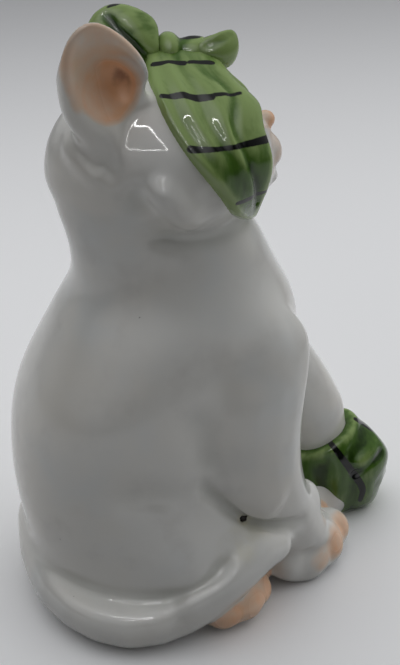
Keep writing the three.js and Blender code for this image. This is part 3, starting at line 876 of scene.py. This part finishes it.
PAW_DABS = [
    ((-20.0, -25.4, 8.0), 6.0, 0.36),
    ((-16.6, -30.6, 9.4), 7.5, 0.60),
    ((-10.6, -35.0, 9.4), 6.6, 0.56),
    ((-1.0, -33.4, 8.4), 6.0, 0.52),
]
FOOT_DABS = [(at + towards * 3.2 + (0, 0, 1.2), 10.0, 0.58) for at, towards in foot_toes]
CHEEK_DABS = [(on_head(on_face(side * 5.0, z)), 6.5, 0.26) for side in (-1, 1) for z in (-1.0, -5.0)]
PEACH_DABS = {
    "right_foreleg": PAW_DABS,
    "head": CHEEK_DABS,
    "right_hind_foot": FOOT_DABS,
    "left_hind_foot": FOOT_DABS,
}
STAIN_DABS = (((-34.5, 1.6, 27.8), 7.0, 0.35), ((-31.0, -4.0, 28.4), 5.0, 0.25), (VENT, 3.5, 0.5))
SPECKS_AND_VENT_SHADE = (
    (seated((-28.2, 43.0, 14.6)), 0.5),
    (seated((-20.8, 22.8, 89.6)), 0.45),
    (seated((-35.7, 18.9, 31.7)), 0.4),
    # The vent hole is inked black: painted shade.
    (VENT, 1.2),
)
BRUSH_EDGE = 1.6
UNTOUCHED = 9.0


def covered(away):
    """How far a brush stroke covers points at a distance in mm from its edge, a half on the edge."""
    return np.clip(0.5 - away / BRUSH_EDGE, 0, 1)


def oval(x, z, half_wide, half_tall):
    """Distance from the edge of an oval, about."""
    return (np.hypot(x / half_wide, z / half_tall) - 1) * min(half_wide, half_tall)


PUPIL = (1.15, 2.1)
LID_THIN, LID_THICKER = 0.18, 0.34
GLEAM_ACROSS, GLEAM_UP, GLEAM_HALF = 0.9, 1.1, 0.62
WHISKER_DOTS, DOT_HALF = ((3.0, -2.0), (4.6, -2.8), (3.6, -4.2)), 0.26
SMILE_HALF, LIP_HALF = 0.26, 0.24
NOSE_PEACH = 0.64


def face_paint(points):
    """What the fine brush left on the face: iris, dark lines, gleam and the peach nose."""
    x, y, z = in_head(points).T
    not_in_front = 50.0 * (y > -12)
    flat = np.stack([x, np.zeros_like(x), z], 1)
    iris = np.full(len(points), UNTOUCHED)
    gleam = iris.copy()
    ink = along(bent([(0, 0, MOUTH_TOP), (0, 0, MOUTH_Z)]), flat)[0] - LIP_HALF
    c, s = math.cos(math.radians(EYE_SLANT)), math.sin(math.radians(EYE_SLANT))
    for side in (-1, 1):
        across = (side * x - EYE_X) * c + (z - EYE_Z) * s
        up = (z - EYE_Z) * c - (side * x - EYE_X) * s
        eye = oval(across, up, EYE_HALF_WIDE, EYE_HALF_TALL)
        iris = np.minimum(iris, eye)
        ink = np.minimum(ink, oval(across, up, *PUPIL))
        ink = np.minimum(ink, np.abs(eye) - LID_THIN - LID_THICKER * ease(up, -0.6, 2.2))
        gleam = np.minimum(gleam, np.hypot(across + GLEAM_ACROSS * side, up - GLEAM_UP) - GLEAM_HALF)
        for dot_x, dot_z in WHISKER_DOTS:
            ink = np.minimum(ink, np.hypot(side * x - dot_x, z - dot_z) - DOT_HALF)
        smile = bent([(side * smile_x, 0, smile_z) for smile_x, smile_z in SMILE])
        ink = np.minimum(ink, along(smile, flat)[0] - SMILE_HALF)
    nose = oval(x, z - NOSE_Z + 0.25 * np.abs(x), NOSE_HALF_WIDE + 0.3, NOSE_HALF_TALL + 0.4)
    nose = NOSE_PEACH * covered((nose + not_in_front) * 1.4)
    return iris + not_in_front, ink + not_in_front, gleam + not_in_front, nose


def finish_white(node, coarse):
    """Parts, glazes and seats one white piece of the body."""
    shape, points, facing = carve(node + "_cast", parted(node), body, coarse)
    ink = np.full(len(points), UNTOUCHED)
    for at, half in SPECKS_AND_VENT_SHADE:
        ink = np.minimum(ink, np.linalg.norm(points - at, axis=1) - half)
    peach = ear_peach(points, facing)
    for owner, dabs in PEACH_DABS.items():
        own_skin = 1 - ease(read_at(clay[owner], points) - read_at(nearest, points), 0.1, 1.0)
        peach = np.maximum(peach, own_skin * dabbed(points, dabs))
    if node == "head":
        iris, lines, gleam, nose = face_paint(points)
        ink = np.minimum(ink, lines)
        peach = np.maximum(peach, nose)
        paint_by(shape, "iris", covered(iris))
        paint_by(shape, "gleam", covered(gleam))
    # The crease mask: pooled glaze and painted shade in the creases.
    paint_by(shape, "hollow", np.clip(-read_at(crease_pooling_and_shade, points) / POOL_AND_SHADE_DEEP, 0, 1))
    paint_by(shape, "peach", peach)
    paint_by(shape, "stain", dabbed(points, STAIN_DABS))
    paint_by(shape, "ink", covered(ink))
    shape.data.materials.append(white_finish)
    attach(shape, "root")
    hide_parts(node)


for node in ("torso", "tail"):
    finish_white(node, coarse=2)
for node in ("head", *EARS, *LEGS, *FEET):
    finish_white(node, coarse=1)

# Head bandage
# A wide strip of rolled clay is laid over the crown, down both cheeks and under the chin, and
# pleated with a tool. It is washed with green underglaze, thin on the pleats, and lined in black. The wash
# is lightened towards the crown as painted light, and darkened in the folds as painted shade with thicker
# glaze.

GREEN_THIN_AND_LIT = colour(0.27, 0.375, 0.13)
GREEN = colour(0.066, 0.142, 0.019)
GREEN_THICK_AND_SHADED = colour(0.018, 0.046, 0.005)
BLACK = colour(0.006, 0.007, 0.006)


def green_glaze():
    """Green wash and black brush lines under a clear gloss glaze, with painted light on the crown and
    painted shade in the folds.
    """
    material, shader, glaze = finish_named("green glaze")
    lay = glaze.stored("lay", 1)
    streaks = glaze.noise(2.6, 4, lay)
    # Painted light and shade: the stored wash is paler on the crown and the ridges, deeper in the folds.
    wash = glaze.stored("wash_light_and_shade") + (streaks - 0.5) * 1.1 + (glaze.noise(9, 2) - 0.5) * 0.7
    base = wash.rise(-0.15, 0.42).over(GREEN_THICK_AND_SHADED, GREEN)
    base = wash.rise(0.38, 1.05).over(base, GREEN_THIN_AND_LIT)
    stroke = glaze.stored("stroke") + (glaze.noise(1.6, 3) - 0.5) * 0.22
    base = stroke.rise(0.40, 0.60).over(base, BLACK)
    base.feeds(shader, "Base Color")
    (0.025 + glaze.noise(9, 3) * 0.05).feeds(shader, "Roughness")
    waves = glaze.noise(6, 2) + streaks * 0.15
    glaze.add("ShaderNodeBump", None, {"Height": waves, **GLAZE_WAVES}).feeds(shader, "Normal")
    shader.inputs["IOR"].default_value = GLAZE_IOR
    return material


green_finish = green_glaze()
# The crown's paleness is painted light; the relief term is thinner glaze on ridges and painted shade in
# folds.
WASH, LIGHT_ON_CROWN, WASH_OFF_PAW = 0.20, 0.56, 0.26
WASH_AND_SHADE_ON_RELIEF, RELIEF_SPREAD, RELIEF_LEVEL = 1.4, 1.6, 0.12


def finish_green(node, strip, lay_of, stroke_of):
    """Carves, washes, lines and seats one green piece, the wash paler towards the top of the head as
    painted light, and darker in the folds as painted shade and thicker glaze.
    """
    shape, points, facing = carve(node + "_strip", strip, strip)
    up = in_head(points)[:, 2]
    # Painted light: the wash pales towards the crown. Painted shade with thicker glaze: it deepens in the
    # folds.
    wash = WASH + LIGHT_ON_CROWN * ease(up, -10, 15) - WASH_OFF_PAW * ease(up, -45, -25)
    wash += WASH_AND_SHADE_ON_RELIEF * (read_at(sponged(strip, RELIEF_SPREAD), points) - RELIEF_LEVEL)
    paint_by(shape, "wash_light_and_shade", np.clip(wash, -0.5, 1.2))
    paint_by(shape, "stroke", covered(stroke_of(points, facing)))
    layer = shape.data.attributes.new("lay", "FLOAT_VECTOR", "POINT")
    layer.data.foreach_set("vector", np.asarray(lay_of(points) / MM, np.float32).ravel())
    shape.data.materials.append(green_finish)
    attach(shape, "root")
    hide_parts(node)


BAND_FRONT, BAND_FRONT_RISE = 31, 10
BAND_PEAK = (4, 0, 28)
BAND_BROW = (-7, 48, 20)
BAND_REAR, BAND_REAR_FALL, BAND_REAR_BEND = 92, 43, 1.4
BAND_CHEEK = (-3.0, 110, 26)


def band_place(points):
    """Turn from the crown and angle off the face's axis, share across, width in mm, reach and place."""
    local = in_head(points)
    reach = np.linalg.norm(local, axis=-1)
    around = np.degrees(np.arctan2(local[..., 0], local[..., 2]))
    off = np.degrees(np.arccos(np.clip(-local[..., 1] / np.maximum(reach, 1e-6), -1, 1)))
    cosine = np.cos(np.radians(around))
    front = BAND_FRONT + BAND_FRONT_RISE * cosine**2
    front = front + swell(around, *BAND_PEAK) + swell(np.abs(around), *BAND_BROW)
    rear = BAND_REAR - BAND_REAR_FALL * ((1 - cosine) / 2) ** BAND_REAR_BEND
    rear = rear + swell(np.abs(around), *BAND_CHEEK)
    across = (off - front) / (rear - front)
    return around, off, across, np.radians(rear - front) * reach, reach, local


BAND_THICK, BAND_ROUNDING, BAND_SUNK, BAND_UNDER = 2.1, 2.2, 0.6, 1.2
BAND_ROLL = (0.9, 0.15, 0.17)
BAND_TEMPLE = (1.8, 50, 24)
BAND_CROWN = (1.7, 0, 17)
PLEATS = ((1.05, 0.47, 0.085), (1.2, 0.70, 0.075), (1.2, 0.93, 0.070))
PLEAT_LEVEL, PLEAT_LEAST = 0.45, 0.06
CREASE_DEEP, CREASE_WIDE = 0.95, 0.035
CREASE_LIP, CREASE_LIP_OFF, CREASE_LIP_WIDE = 0.3, 0.09, 0.05
BAND_ROOM = 4
BAND_SPONGE = 0.45

window, spots = round_node("head_bandage", BAND_ROOM)
around, _, across, width, reach, local = band_place(spots)
aside = np.abs(around)
thick = BAND_THICK + swell(across, *BAND_ROLL)
thick += swell(aside, *BAND_TEMPLE) * (1 - ease(across, 0.25, 0.6))
thick += swell(around, *BAND_CROWN) * ease(across, 0.12, 0.35)
pleated = PLEAT_LEAST + (1 - PLEAT_LEAST) * ease(aside, 8, 40) * (1 - ease(aside, 68, 108))
lean = np.where(around < 0, 0.0, 0.04) + 0.035 * np.sin(np.radians(around * 2.3 + 20))
for high, middle, spread in PLEATS:
    thick += pleated * high * (swell(across + lean, 1, middle, spread) - PLEAT_LEVEL)
crease = 0.31 + 0.09 * ease(aside, 45, 85) + 0.02 * np.sin(np.radians(around * 3))
sharp = ease(aside, 18, 42) * (1 - 0.3 * ease(aside, 120, 150))
thick -= sharp * swell(across, CREASE_DEEP, crease, CREASE_WIDE)
thick += sharp * swell(across, CREASE_LIP, crease + CREASE_LIP_OFF, CREASE_LIP_WIDE)
inside_edge = np.minimum(across, 1 - across) * width
arch = np.sqrt(np.clip(1 - (1 - np.clip(inside_edge / BAND_ROUNDING, 0, 1)) ** 2, 0, 1))
thick = np.where(inside_edge > 0, (thick + BAND_SUNK) * arch, inside_edge) - BAND_SUNK
over = reach - skull(local / np.maximum(reach, 1e-6)[..., None])
strip = np.full(clay_count, LATTICE_MARGIN, np.float32)
strip[window] = np.maximum(over - thick, -(over + BAND_UNDER))

# A line's turn from the crown, its slant, where it starts and stops off the face, and its half width.
BAND_LINES = (
    (-21, 3, 54, 66, 0.60),
    (-22, 0, 69, 86, 0.85),
    (-49, 2, 43, 56, 0.65),
    (-50, -1, 58, 84, 0.85),
    (-82, -3, 31, 74, 0.72),
    (-118, -12, 30, 56, 0.55),
    (34, 2, 52, 86, 0.75),
    (60, -2, 40, 84, 0.85),
    (92, 4, 31, 74, 0.9),
    (126, 10, 30, 57, 0.65),
    (178, 0, 42, 50, 0.6),
)
STREAK = 0.22


def band_lines(points, facing):
    """Distance from the black lines brushed across the band."""
    around, off, _, _, reach, local = band_place(points)
    stroke = np.full(len(points), UNTOUCHED)
    for turn, slant, start, stop, half in BAND_LINES:
        line = turn + slant * (stop - off) / (stop - start) + 1.3 * np.sin(np.radians(off * 6 + turn))
        gap = np.radians((around - line + 180) % 360 - 180) * np.hypot(local[:, 0], local[:, 2])
        beyond = np.radians(np.maximum(np.maximum(start - off, off - stop), 0)) * reach
        half = half * (1 + 0.22 * np.sin(np.radians(off * 9 + turn * 3)))
        stroke = np.minimum(stroke, np.hypot(gap, beyond) - half)
    return stroke


def band_lay(points):
    """The way of the brush on the band: fine across it and long down its length."""
    around, _, across, width, reach, _ = band_place(points)
    return np.stack([across * width, np.radians(around) * reach * STREAK, np.zeros_like(reach)], 1)


finish_green("head_bandage", sponged(strip, BAND_SPONGE), band_lay, band_lines)

# Bow
# The bow is three lumps of clay on the crown: a knot, a long loop towards the ears and a short one
# that flares over the brow. Their folds are pressed in with a tool.

BRUSHED_ALONG = np.array((0.847, -0.18, -0.5))


def brushed(points, facing, stops, half):
    """Distance from the edge of a stroke that a brush, pointing along one way, laid on the near side."""
    course, flat = (p - np.outer(p @ BRUSHED_ALONG, BRUSHED_ALONG) for p in (bent(stops), points))
    away, how_far = along(course, flat)
    width = half * (0.75 + 0.5 * np.sin(np.pi * np.clip(how_far * 0.9 + 0.08, 0, 1)))
    return away - width + 6 * ease(facing @ BRUSHED_ALONG, -0.2, 0.1)


def lines_of(strokes):
    """Measures how far points lie from the edges of some strokes."""

    def stroke_of(points, facing):
        return np.minimum.reduce([brushed(points, facing, stops, half) for stops, half in strokes])

    return stroke_of


def mirrored(stops):
    """Stops on the other side of the bow, as the head sees it."""
    return on_head(in_head(np.asarray(stops, float)) * (-1, 1, 1))


LOOP_FOLD = (
    (7.5, 26.0, 154.6),
    (5.6, 24.0, 152.6),
    (4.2, 22.4, 150.6),
    (2.6, 19.4, 147.8),
    (1.9, 16.4, 144.8),
    (2.2, 13.6, 142.4),
)
LOOP_ROLL = ((6.4, 21.4, 154.0), (3.9, 18.6, 151.2), (2.2, 15.6, 147.6), (2.2, 13.0, 144.6))
LOOP_END = 12.6
KNOT_BALL = ((4.6, 10.6, 146.0), (4.8, 2.8, 3.3))
KNOT_STRAP = ((4.4, 4.8, 145.0), (4.4, 4.8, 3.1))
KNOT_FOLD = ((2.6, 8.4, 150.0), (0.3, 8.6, 147.5), (0.0, 9.0, 145.2))
KNOT_DIP = ((3.6, 5.6, 150.2), (1.4, 6.0, 149.4))
FLARE_CUT, FLARE_UP = (1.4, 0.4, 149.4), (0.532, 0.316, 0.788)
FLARE_ROOT = ((3.4, 0.2, 144.2), (4.0, 4.6, 3.8))
FLARE_FOLD = ((1.0, 3.4, 146.6), (0.0, 1.4, 147.4), (0.2, -1.8, 148.4), (1.4, -4.4, 149.6))
BOW_ROOM = 14
BOW_SPONGE, BOW_GROWN = 0.6, 0.3
BOW_FOLDS = {
    "bow_knot": ((KNOT_FOLD, 0.8, 0.6), (KNOT_DIP, 2.0, 0.5)),
    "bow_loop_rear": ((LOOP_FOLD, 1.0, 1.9), (LOOP_ROLL, 1.8, -0.7)),
    "bow_loop_front": ((FLARE_FOLD, 0.9, 0.8),),
}
KNOT_LINE = ((1.9, 8.2, 149.6), (2.4, 6.0, 149.0), (3.0, 3.6, 148.6))
LOOP_LINE = ((9.0, 21.0, 155.4), (8.0, 24.0, 155.0))
FLARE_LINE = ((2.2, 3.8, 149.0), (3.0, 1.2, 150.2))
FLARE_EDGE_LINE = ((3.4, -2.2, 151.2), (4.2, -4.2, 150.8))
BOW_LINES = {
    "bow_knot": ((KNOT_LINE, 0.5),),
    "bow_loop_rear": ((LOOP_LINE, 0.4),),
    "bow_loop_front": ((FLARE_LINE, 0.45), (FLARE_EDGE_LINE, 0.4)),
}


def bow_lay(points):
    """The way of the brush on the bow: along it."""
    return in_head(points) * (1, STREAK, 1)


bow = {node: sponged(moulded(node), BOW_SPONGE) - np.float32(BOW_GROWN) for node in BOW_FOLDS}

window, spots = round_about([KNOT_BALL[0]], BOW_ROOM)
bow["bow_knot"][window] = joined(lump(spots, *KNOT_BALL), lump(spots, *KNOT_STRAP), fillet=1.0)

bow["bow_loop_rear"] = cut(bow["bow_loop_rear"], clay_y - LOOP_END, fillet=2.0).astype(np.float32)

window, spots = round_about([FLARE_CUT], BOW_ROOM)
flare = bow["bow_loop_front"][window]
flare[:] = cut(flare, (np.array(FLARE_CUT) - spots) @ np.array(FLARE_UP), fillet=1.6)
flare[:] = joined(flare, lump(spots, *FLARE_ROOT), fillet=1.6)

for node, strip in bow.items():
    for stops, wide, deep in BOW_FOLDS[node]:
        pressed(strip, stops, wide, deep, fade=0.2)
        pressed(strip, mirrored(stops), wide, deep, fade=0.2)
    finish_green(node, strip, bow_lay, lines_of(BOW_LINES[node]))

# Paw bandage
# The same green strip is wound round the left forepaw into a soft boot with a loose cuff, open under
# the heel. It is folded with a tool and lined in black like the head bandage.

BOOT_THICK = 1.1
BOOT_SLEEVE = ((15.6, -36.4, 19.0), (11.8, 11.8, 17.0))
BOOT_TOE = ((13.5, -45.4, 17.0), (10.6, 10.0, 8.4))
BOOT_SOLE = ((13.5, -43.6, 8.0), (9.8, 9.4, 8.6))
BOOT_HEEL = ((3.2, -29.0, 3.0), (8.0, 7.6, 9.0))
BOOT_CUFF, BOOT_CUFF_HEIGHT = (0.13, 0.41, 0.90), 9.6
BOOT_FACET, BOOT_FACET_REACH = (0.167, -0.802, 0.572), 56.8
BOOT_ROOM = 6
BOOT_SPONGE, BOOT_GROWN, BOOT_LAST_SPONGE = 0.8, 0.25, 0.5
BOOT_FOLDS = (
    (((3.0, -40.6, 15.8), (3.4, -43.0, 17.0), (5.4, -49.1, 20.0), (8.0, -53.0, 20.6)), 1.3, 1.2),
    (((2.4, -42.0, 19.4), (4.6, -46.0, 21.6), (8.0, -50.0, 23.0)), 2.0, -0.7),
    (((9.0, -37.0, 26.5), (4.6, -37.5, 21.0), (2.6, -37.0, 13.0)), 2.0, -0.5),
    (((4.8, -33.0, 22.0), (3.6, -32.0, 15.0), (3.6, -34.0, 9.0)), 2.0, 0.7),
    (((24.0, -48.0, 22.0), (27.0, -44.0, 15.0), (26.0, -40.0, 7.0)), 1.8, 0.7),
    (((26.0, -38.0, 24.0), (27.5, -36.0, 16.0), (25.0, -33.0, 8.0)), 1.8, 0.7),
)
BOOT_LINES = (
    (((7.2, -35.7, 25.9), (3.9, -40.1, 19.6), (2.2, -44.6, 12.2), (3.1, -44.7, 6.8)), 0.85),
    (((16.4, -45.6, 27.0), (14.4, -47.6, 26.4), (12.6, -50.2, 24.6)), 0.5),
)


def boot_lay(points):
    """The way of the brush on the boot: round it."""
    return points * (1, 1, STREAK)


window, spots = round_node("paw_bandage", BOOT_ROOM)
strip = sponged(moulded("paw_bandage"), BOOT_SPONGE) - np.float32(BOOT_GROWN)
boot = joined(strip[window], moulded("left_foreleg")[window] - BOOT_THICK, fillet=1.0)
boot = joined(boot, lump(spots, *BOOT_SLEEVE), fillet=3.0)
boot = joined(boot, lump(spots, *BOOT_TOE), fillet=2.5)
boot = joined(boot, lump(spots, *BOOT_SOLE), fillet=1.5)
boot = cut(boot, BOOT_FACET_REACH - spots @ np.array(BOOT_FACET), fillet=1.5)
boot = cut(boot, BOOT_CUFF_HEIGHT - spots @ np.array(BOOT_CUFF), fillet=1.2)
boot = cut(boot, lump(spots, *BOOT_HEEL), fillet=1.0)
strip[window] = stood(boot, spots)
for stops, wide, deep in BOOT_FOLDS:
    pressed(strip, stops, wide, deep, fade=0.25)
finish_green("paw_bandage", sponged(strip, BOOT_LAST_SPONGE), boot_lay, lines_of(BOOT_LINES))

# Table
# The kitten stands on a plain pale table top of matt card. It looks paler to the camera and in the
# glaze than it is to the light that it throws back on the kitten, and is darkened with distance there by
# painted shade.

TABLE_HALF, TABLE_DROP = 3.0, 2e-5
TABLE_CORNERS = ((-1, -1), (1, -1), (1, 1), (-1, 1))
TABLE_ROUGHNESS = 0.6
TABLE = colour(0.90, 0.90, 0.912)
TABLE_FAR_SHADE, TABLE_FAR_FROM, TABLE_FAR_TO = colour(0.34, 0.34, 0.35), 0.15, 0.75
TABLE_DIM_SHADE, TABLE_DIM_FROM, TABLE_DIM_TO = colour(0.06, 0.06, 0.06), 0.2, 1.1
TABLE_BOUNCE = colour(0.36, 0.36, 0.36)


def ray(wire, kind):
    """1 for rays of a kind that the Light Path node tells, and 0 for all others."""
    return wire.add("ShaderNodeLightPath", out=kind)


def ray_in_glaze(wire):
    """1 for rays that show the surroundings in gloss or through glass."""
    return wire.maths("MAXIMUM", ray(wire, "Is Glossy Ray"), ray(wire, "Is Transmission Ray"))


table_points = [(x * TABLE_HALF, y * TABLE_HALF, -TABLE_DROP) for x, y in TABLE_CORNERS]
table_mesh = bpy.data.meshes.new("table")
table_mesh.from_pydata(table_points, [], [(0, 1, 2, 3)])
table = placed("table", table_mesh)

table_finish, table_shader, paint = finish_named("pale table")
east = paint.add("ShaderNodeSeparateXYZ", None, {"Vector": paint.place()})
distance = paint.add("ShaderNodeVectorMath", {"operation": "LENGTH"}, {0: paint.place()}, 1)
in_glaze = ray_in_glaze(paint)
# Painted shade: the table darkens away from the camera, and in the glaze with distance.
pale = east.rise(TABLE_FAR_FROM, TABLE_FAR_TO).over(TABLE, TABLE_FAR_SHADE)
pale = (in_glaze * distance.rise(TABLE_DIM_FROM, TABLE_DIM_TO)).over(pale, TABLE_DIM_SHADE)
(ray(paint, "Is Camera Ray") + in_glaze).over(TABLE_BOUNCE, pale).feeds(table_shader, "Base Color")
table_shader.inputs["Roughness"].default_value = TABLE_ROUGHNESS
table_mesh.materials.append(table_finish)

# Lamps and tent
# A white cloth tent lights the kitten from its left and front, open and dark on its right. An oblong
# frame of four thin lamps hangs over that side and shows in the glaze as a thin bright outline.

LAMP_FRAME = (-0.36, 0.25, 0.47)
LAMP_FRAME_LONG, LAMP_FRAME_WIDE, LAMP_THIN = 0.36, 0.22, 0.007
LAMP_POWER = 0.21

for name, shift, size in (
    ("far", (LAMP_FRAME_LONG / 2, 0, 0), (LAMP_THIN, LAMP_FRAME_WIDE)),
    ("near", (-LAMP_FRAME_LONG / 2, 0, 0), (LAMP_THIN, LAMP_FRAME_WIDE)),
    ("front", (0, -LAMP_FRAME_WIDE / 2, 0), (LAMP_FRAME_LONG, LAMP_THIN)),
    ("back", (0, LAMP_FRAME_WIDE / 2, 0), (LAMP_FRAME_LONG, LAMP_THIN)),
):
    lamp = bpy.data.lights.new("lamp_" + name, "AREA")
    lamp.shape = "RECTANGLE"
    lamp.size, lamp.size_y = size
    lamp.energy = LAMP_POWER
    light = placed(lamp.name, lamp)
    light.location = Vector(LAMP_FRAME) + Vector(shift)
    light.visible_diffuse = False
    light.visible_camera = False

TENT_WHITE = colour(0.98, 0.99, 1.0)
TENT_DARK, TENT_BRIGHT, TENT_TOP = 0.036, 0.95, 0.25
TENT_TOWARDS = (0.80, -0.38, 0.42)
TENT_IN_GLAZE = 0.28
TENT_GLOW, TENT_GLOW_TOWARDS = 1.35, (-0.45, 0.50, 0.74)
TENT_SEEN = 0.62

tent = bpy.data.worlds.new("tent")
bpy.context.scene.world = tent
tent.use_nodes = True
cloth = Wire(tent.node_tree)
outlook = cloth.add("ShaderNodeTexCoord", out=0)
upward = cloth.add("ShaderNodeSeparateXYZ", None, {"Vector": outlook}, 2)


def turned_to(direction):
    """How far the outlook turns towards a direction, from -1 to 1."""
    return cloth.add("ShaderNodeVectorMath", {"operation": "DOT_PRODUCT"}, {0: outlook, 1: direction}, 1)


bright = TENT_DARK + turned_to(TENT_TOWARDS).rise(-0.45, 0.65) * (TENT_BRIGHT - TENT_DARK)
bright = bright + upward.rise(0.5, 1.0) * TENT_TOP
gloss = bright * TENT_IN_GLAZE + turned_to(TENT_GLOW_TOWARDS).rise(0.55, 0.97) * TENT_GLOW
bright = bright + ray_in_glaze(cloth) * (gloss - bright)
bright = bright + ray(cloth, "Is Camera Ray") * (TENT_SEEN - bright)
backdrop = tent.node_tree.nodes["Background"]
backdrop.inputs["Color"].default_value = TENT_WHITE
bright.feeds(backdrop, "Strength")

# Camera
# The camera stands at the kitten's right, a little behind it and above, and looks down on it. The
# picture is upright, 400 wide and 665 tall.

PICTURE_TALL, FOCUS_IN_PIXELS, SENSOR = 665, 1239, 36
CAMERA_PLACE = (-0.2721, 0.0620, 0.232)
CAMERA_RIGHT = (-0.208, -0.978, 0)
CAMERA_UP = (0.489, -0.104, 0.866)
CAMERA_BACK = (-0.847, 0.18, 0.5)

camera_lens = bpy.data.cameras.new("camera")
camera_lens.sensor_width = SENSOR
camera_lens.lens = SENSOR * FOCUS_IN_PIXELS / PICTURE_TALL
camera = placed("camera", camera_lens)
bpy.context.scene.camera = camera
camera_turn = Matrix((CAMERA_RIGHT, CAMERA_UP, CAMERA_BACK)).transposed().to_4x4()
camera.matrix_world = Matrix.Translation(CAMERA_PLACE) @ camera_turn

bpy.context.scene.view_settings.view_transform = "Standard"
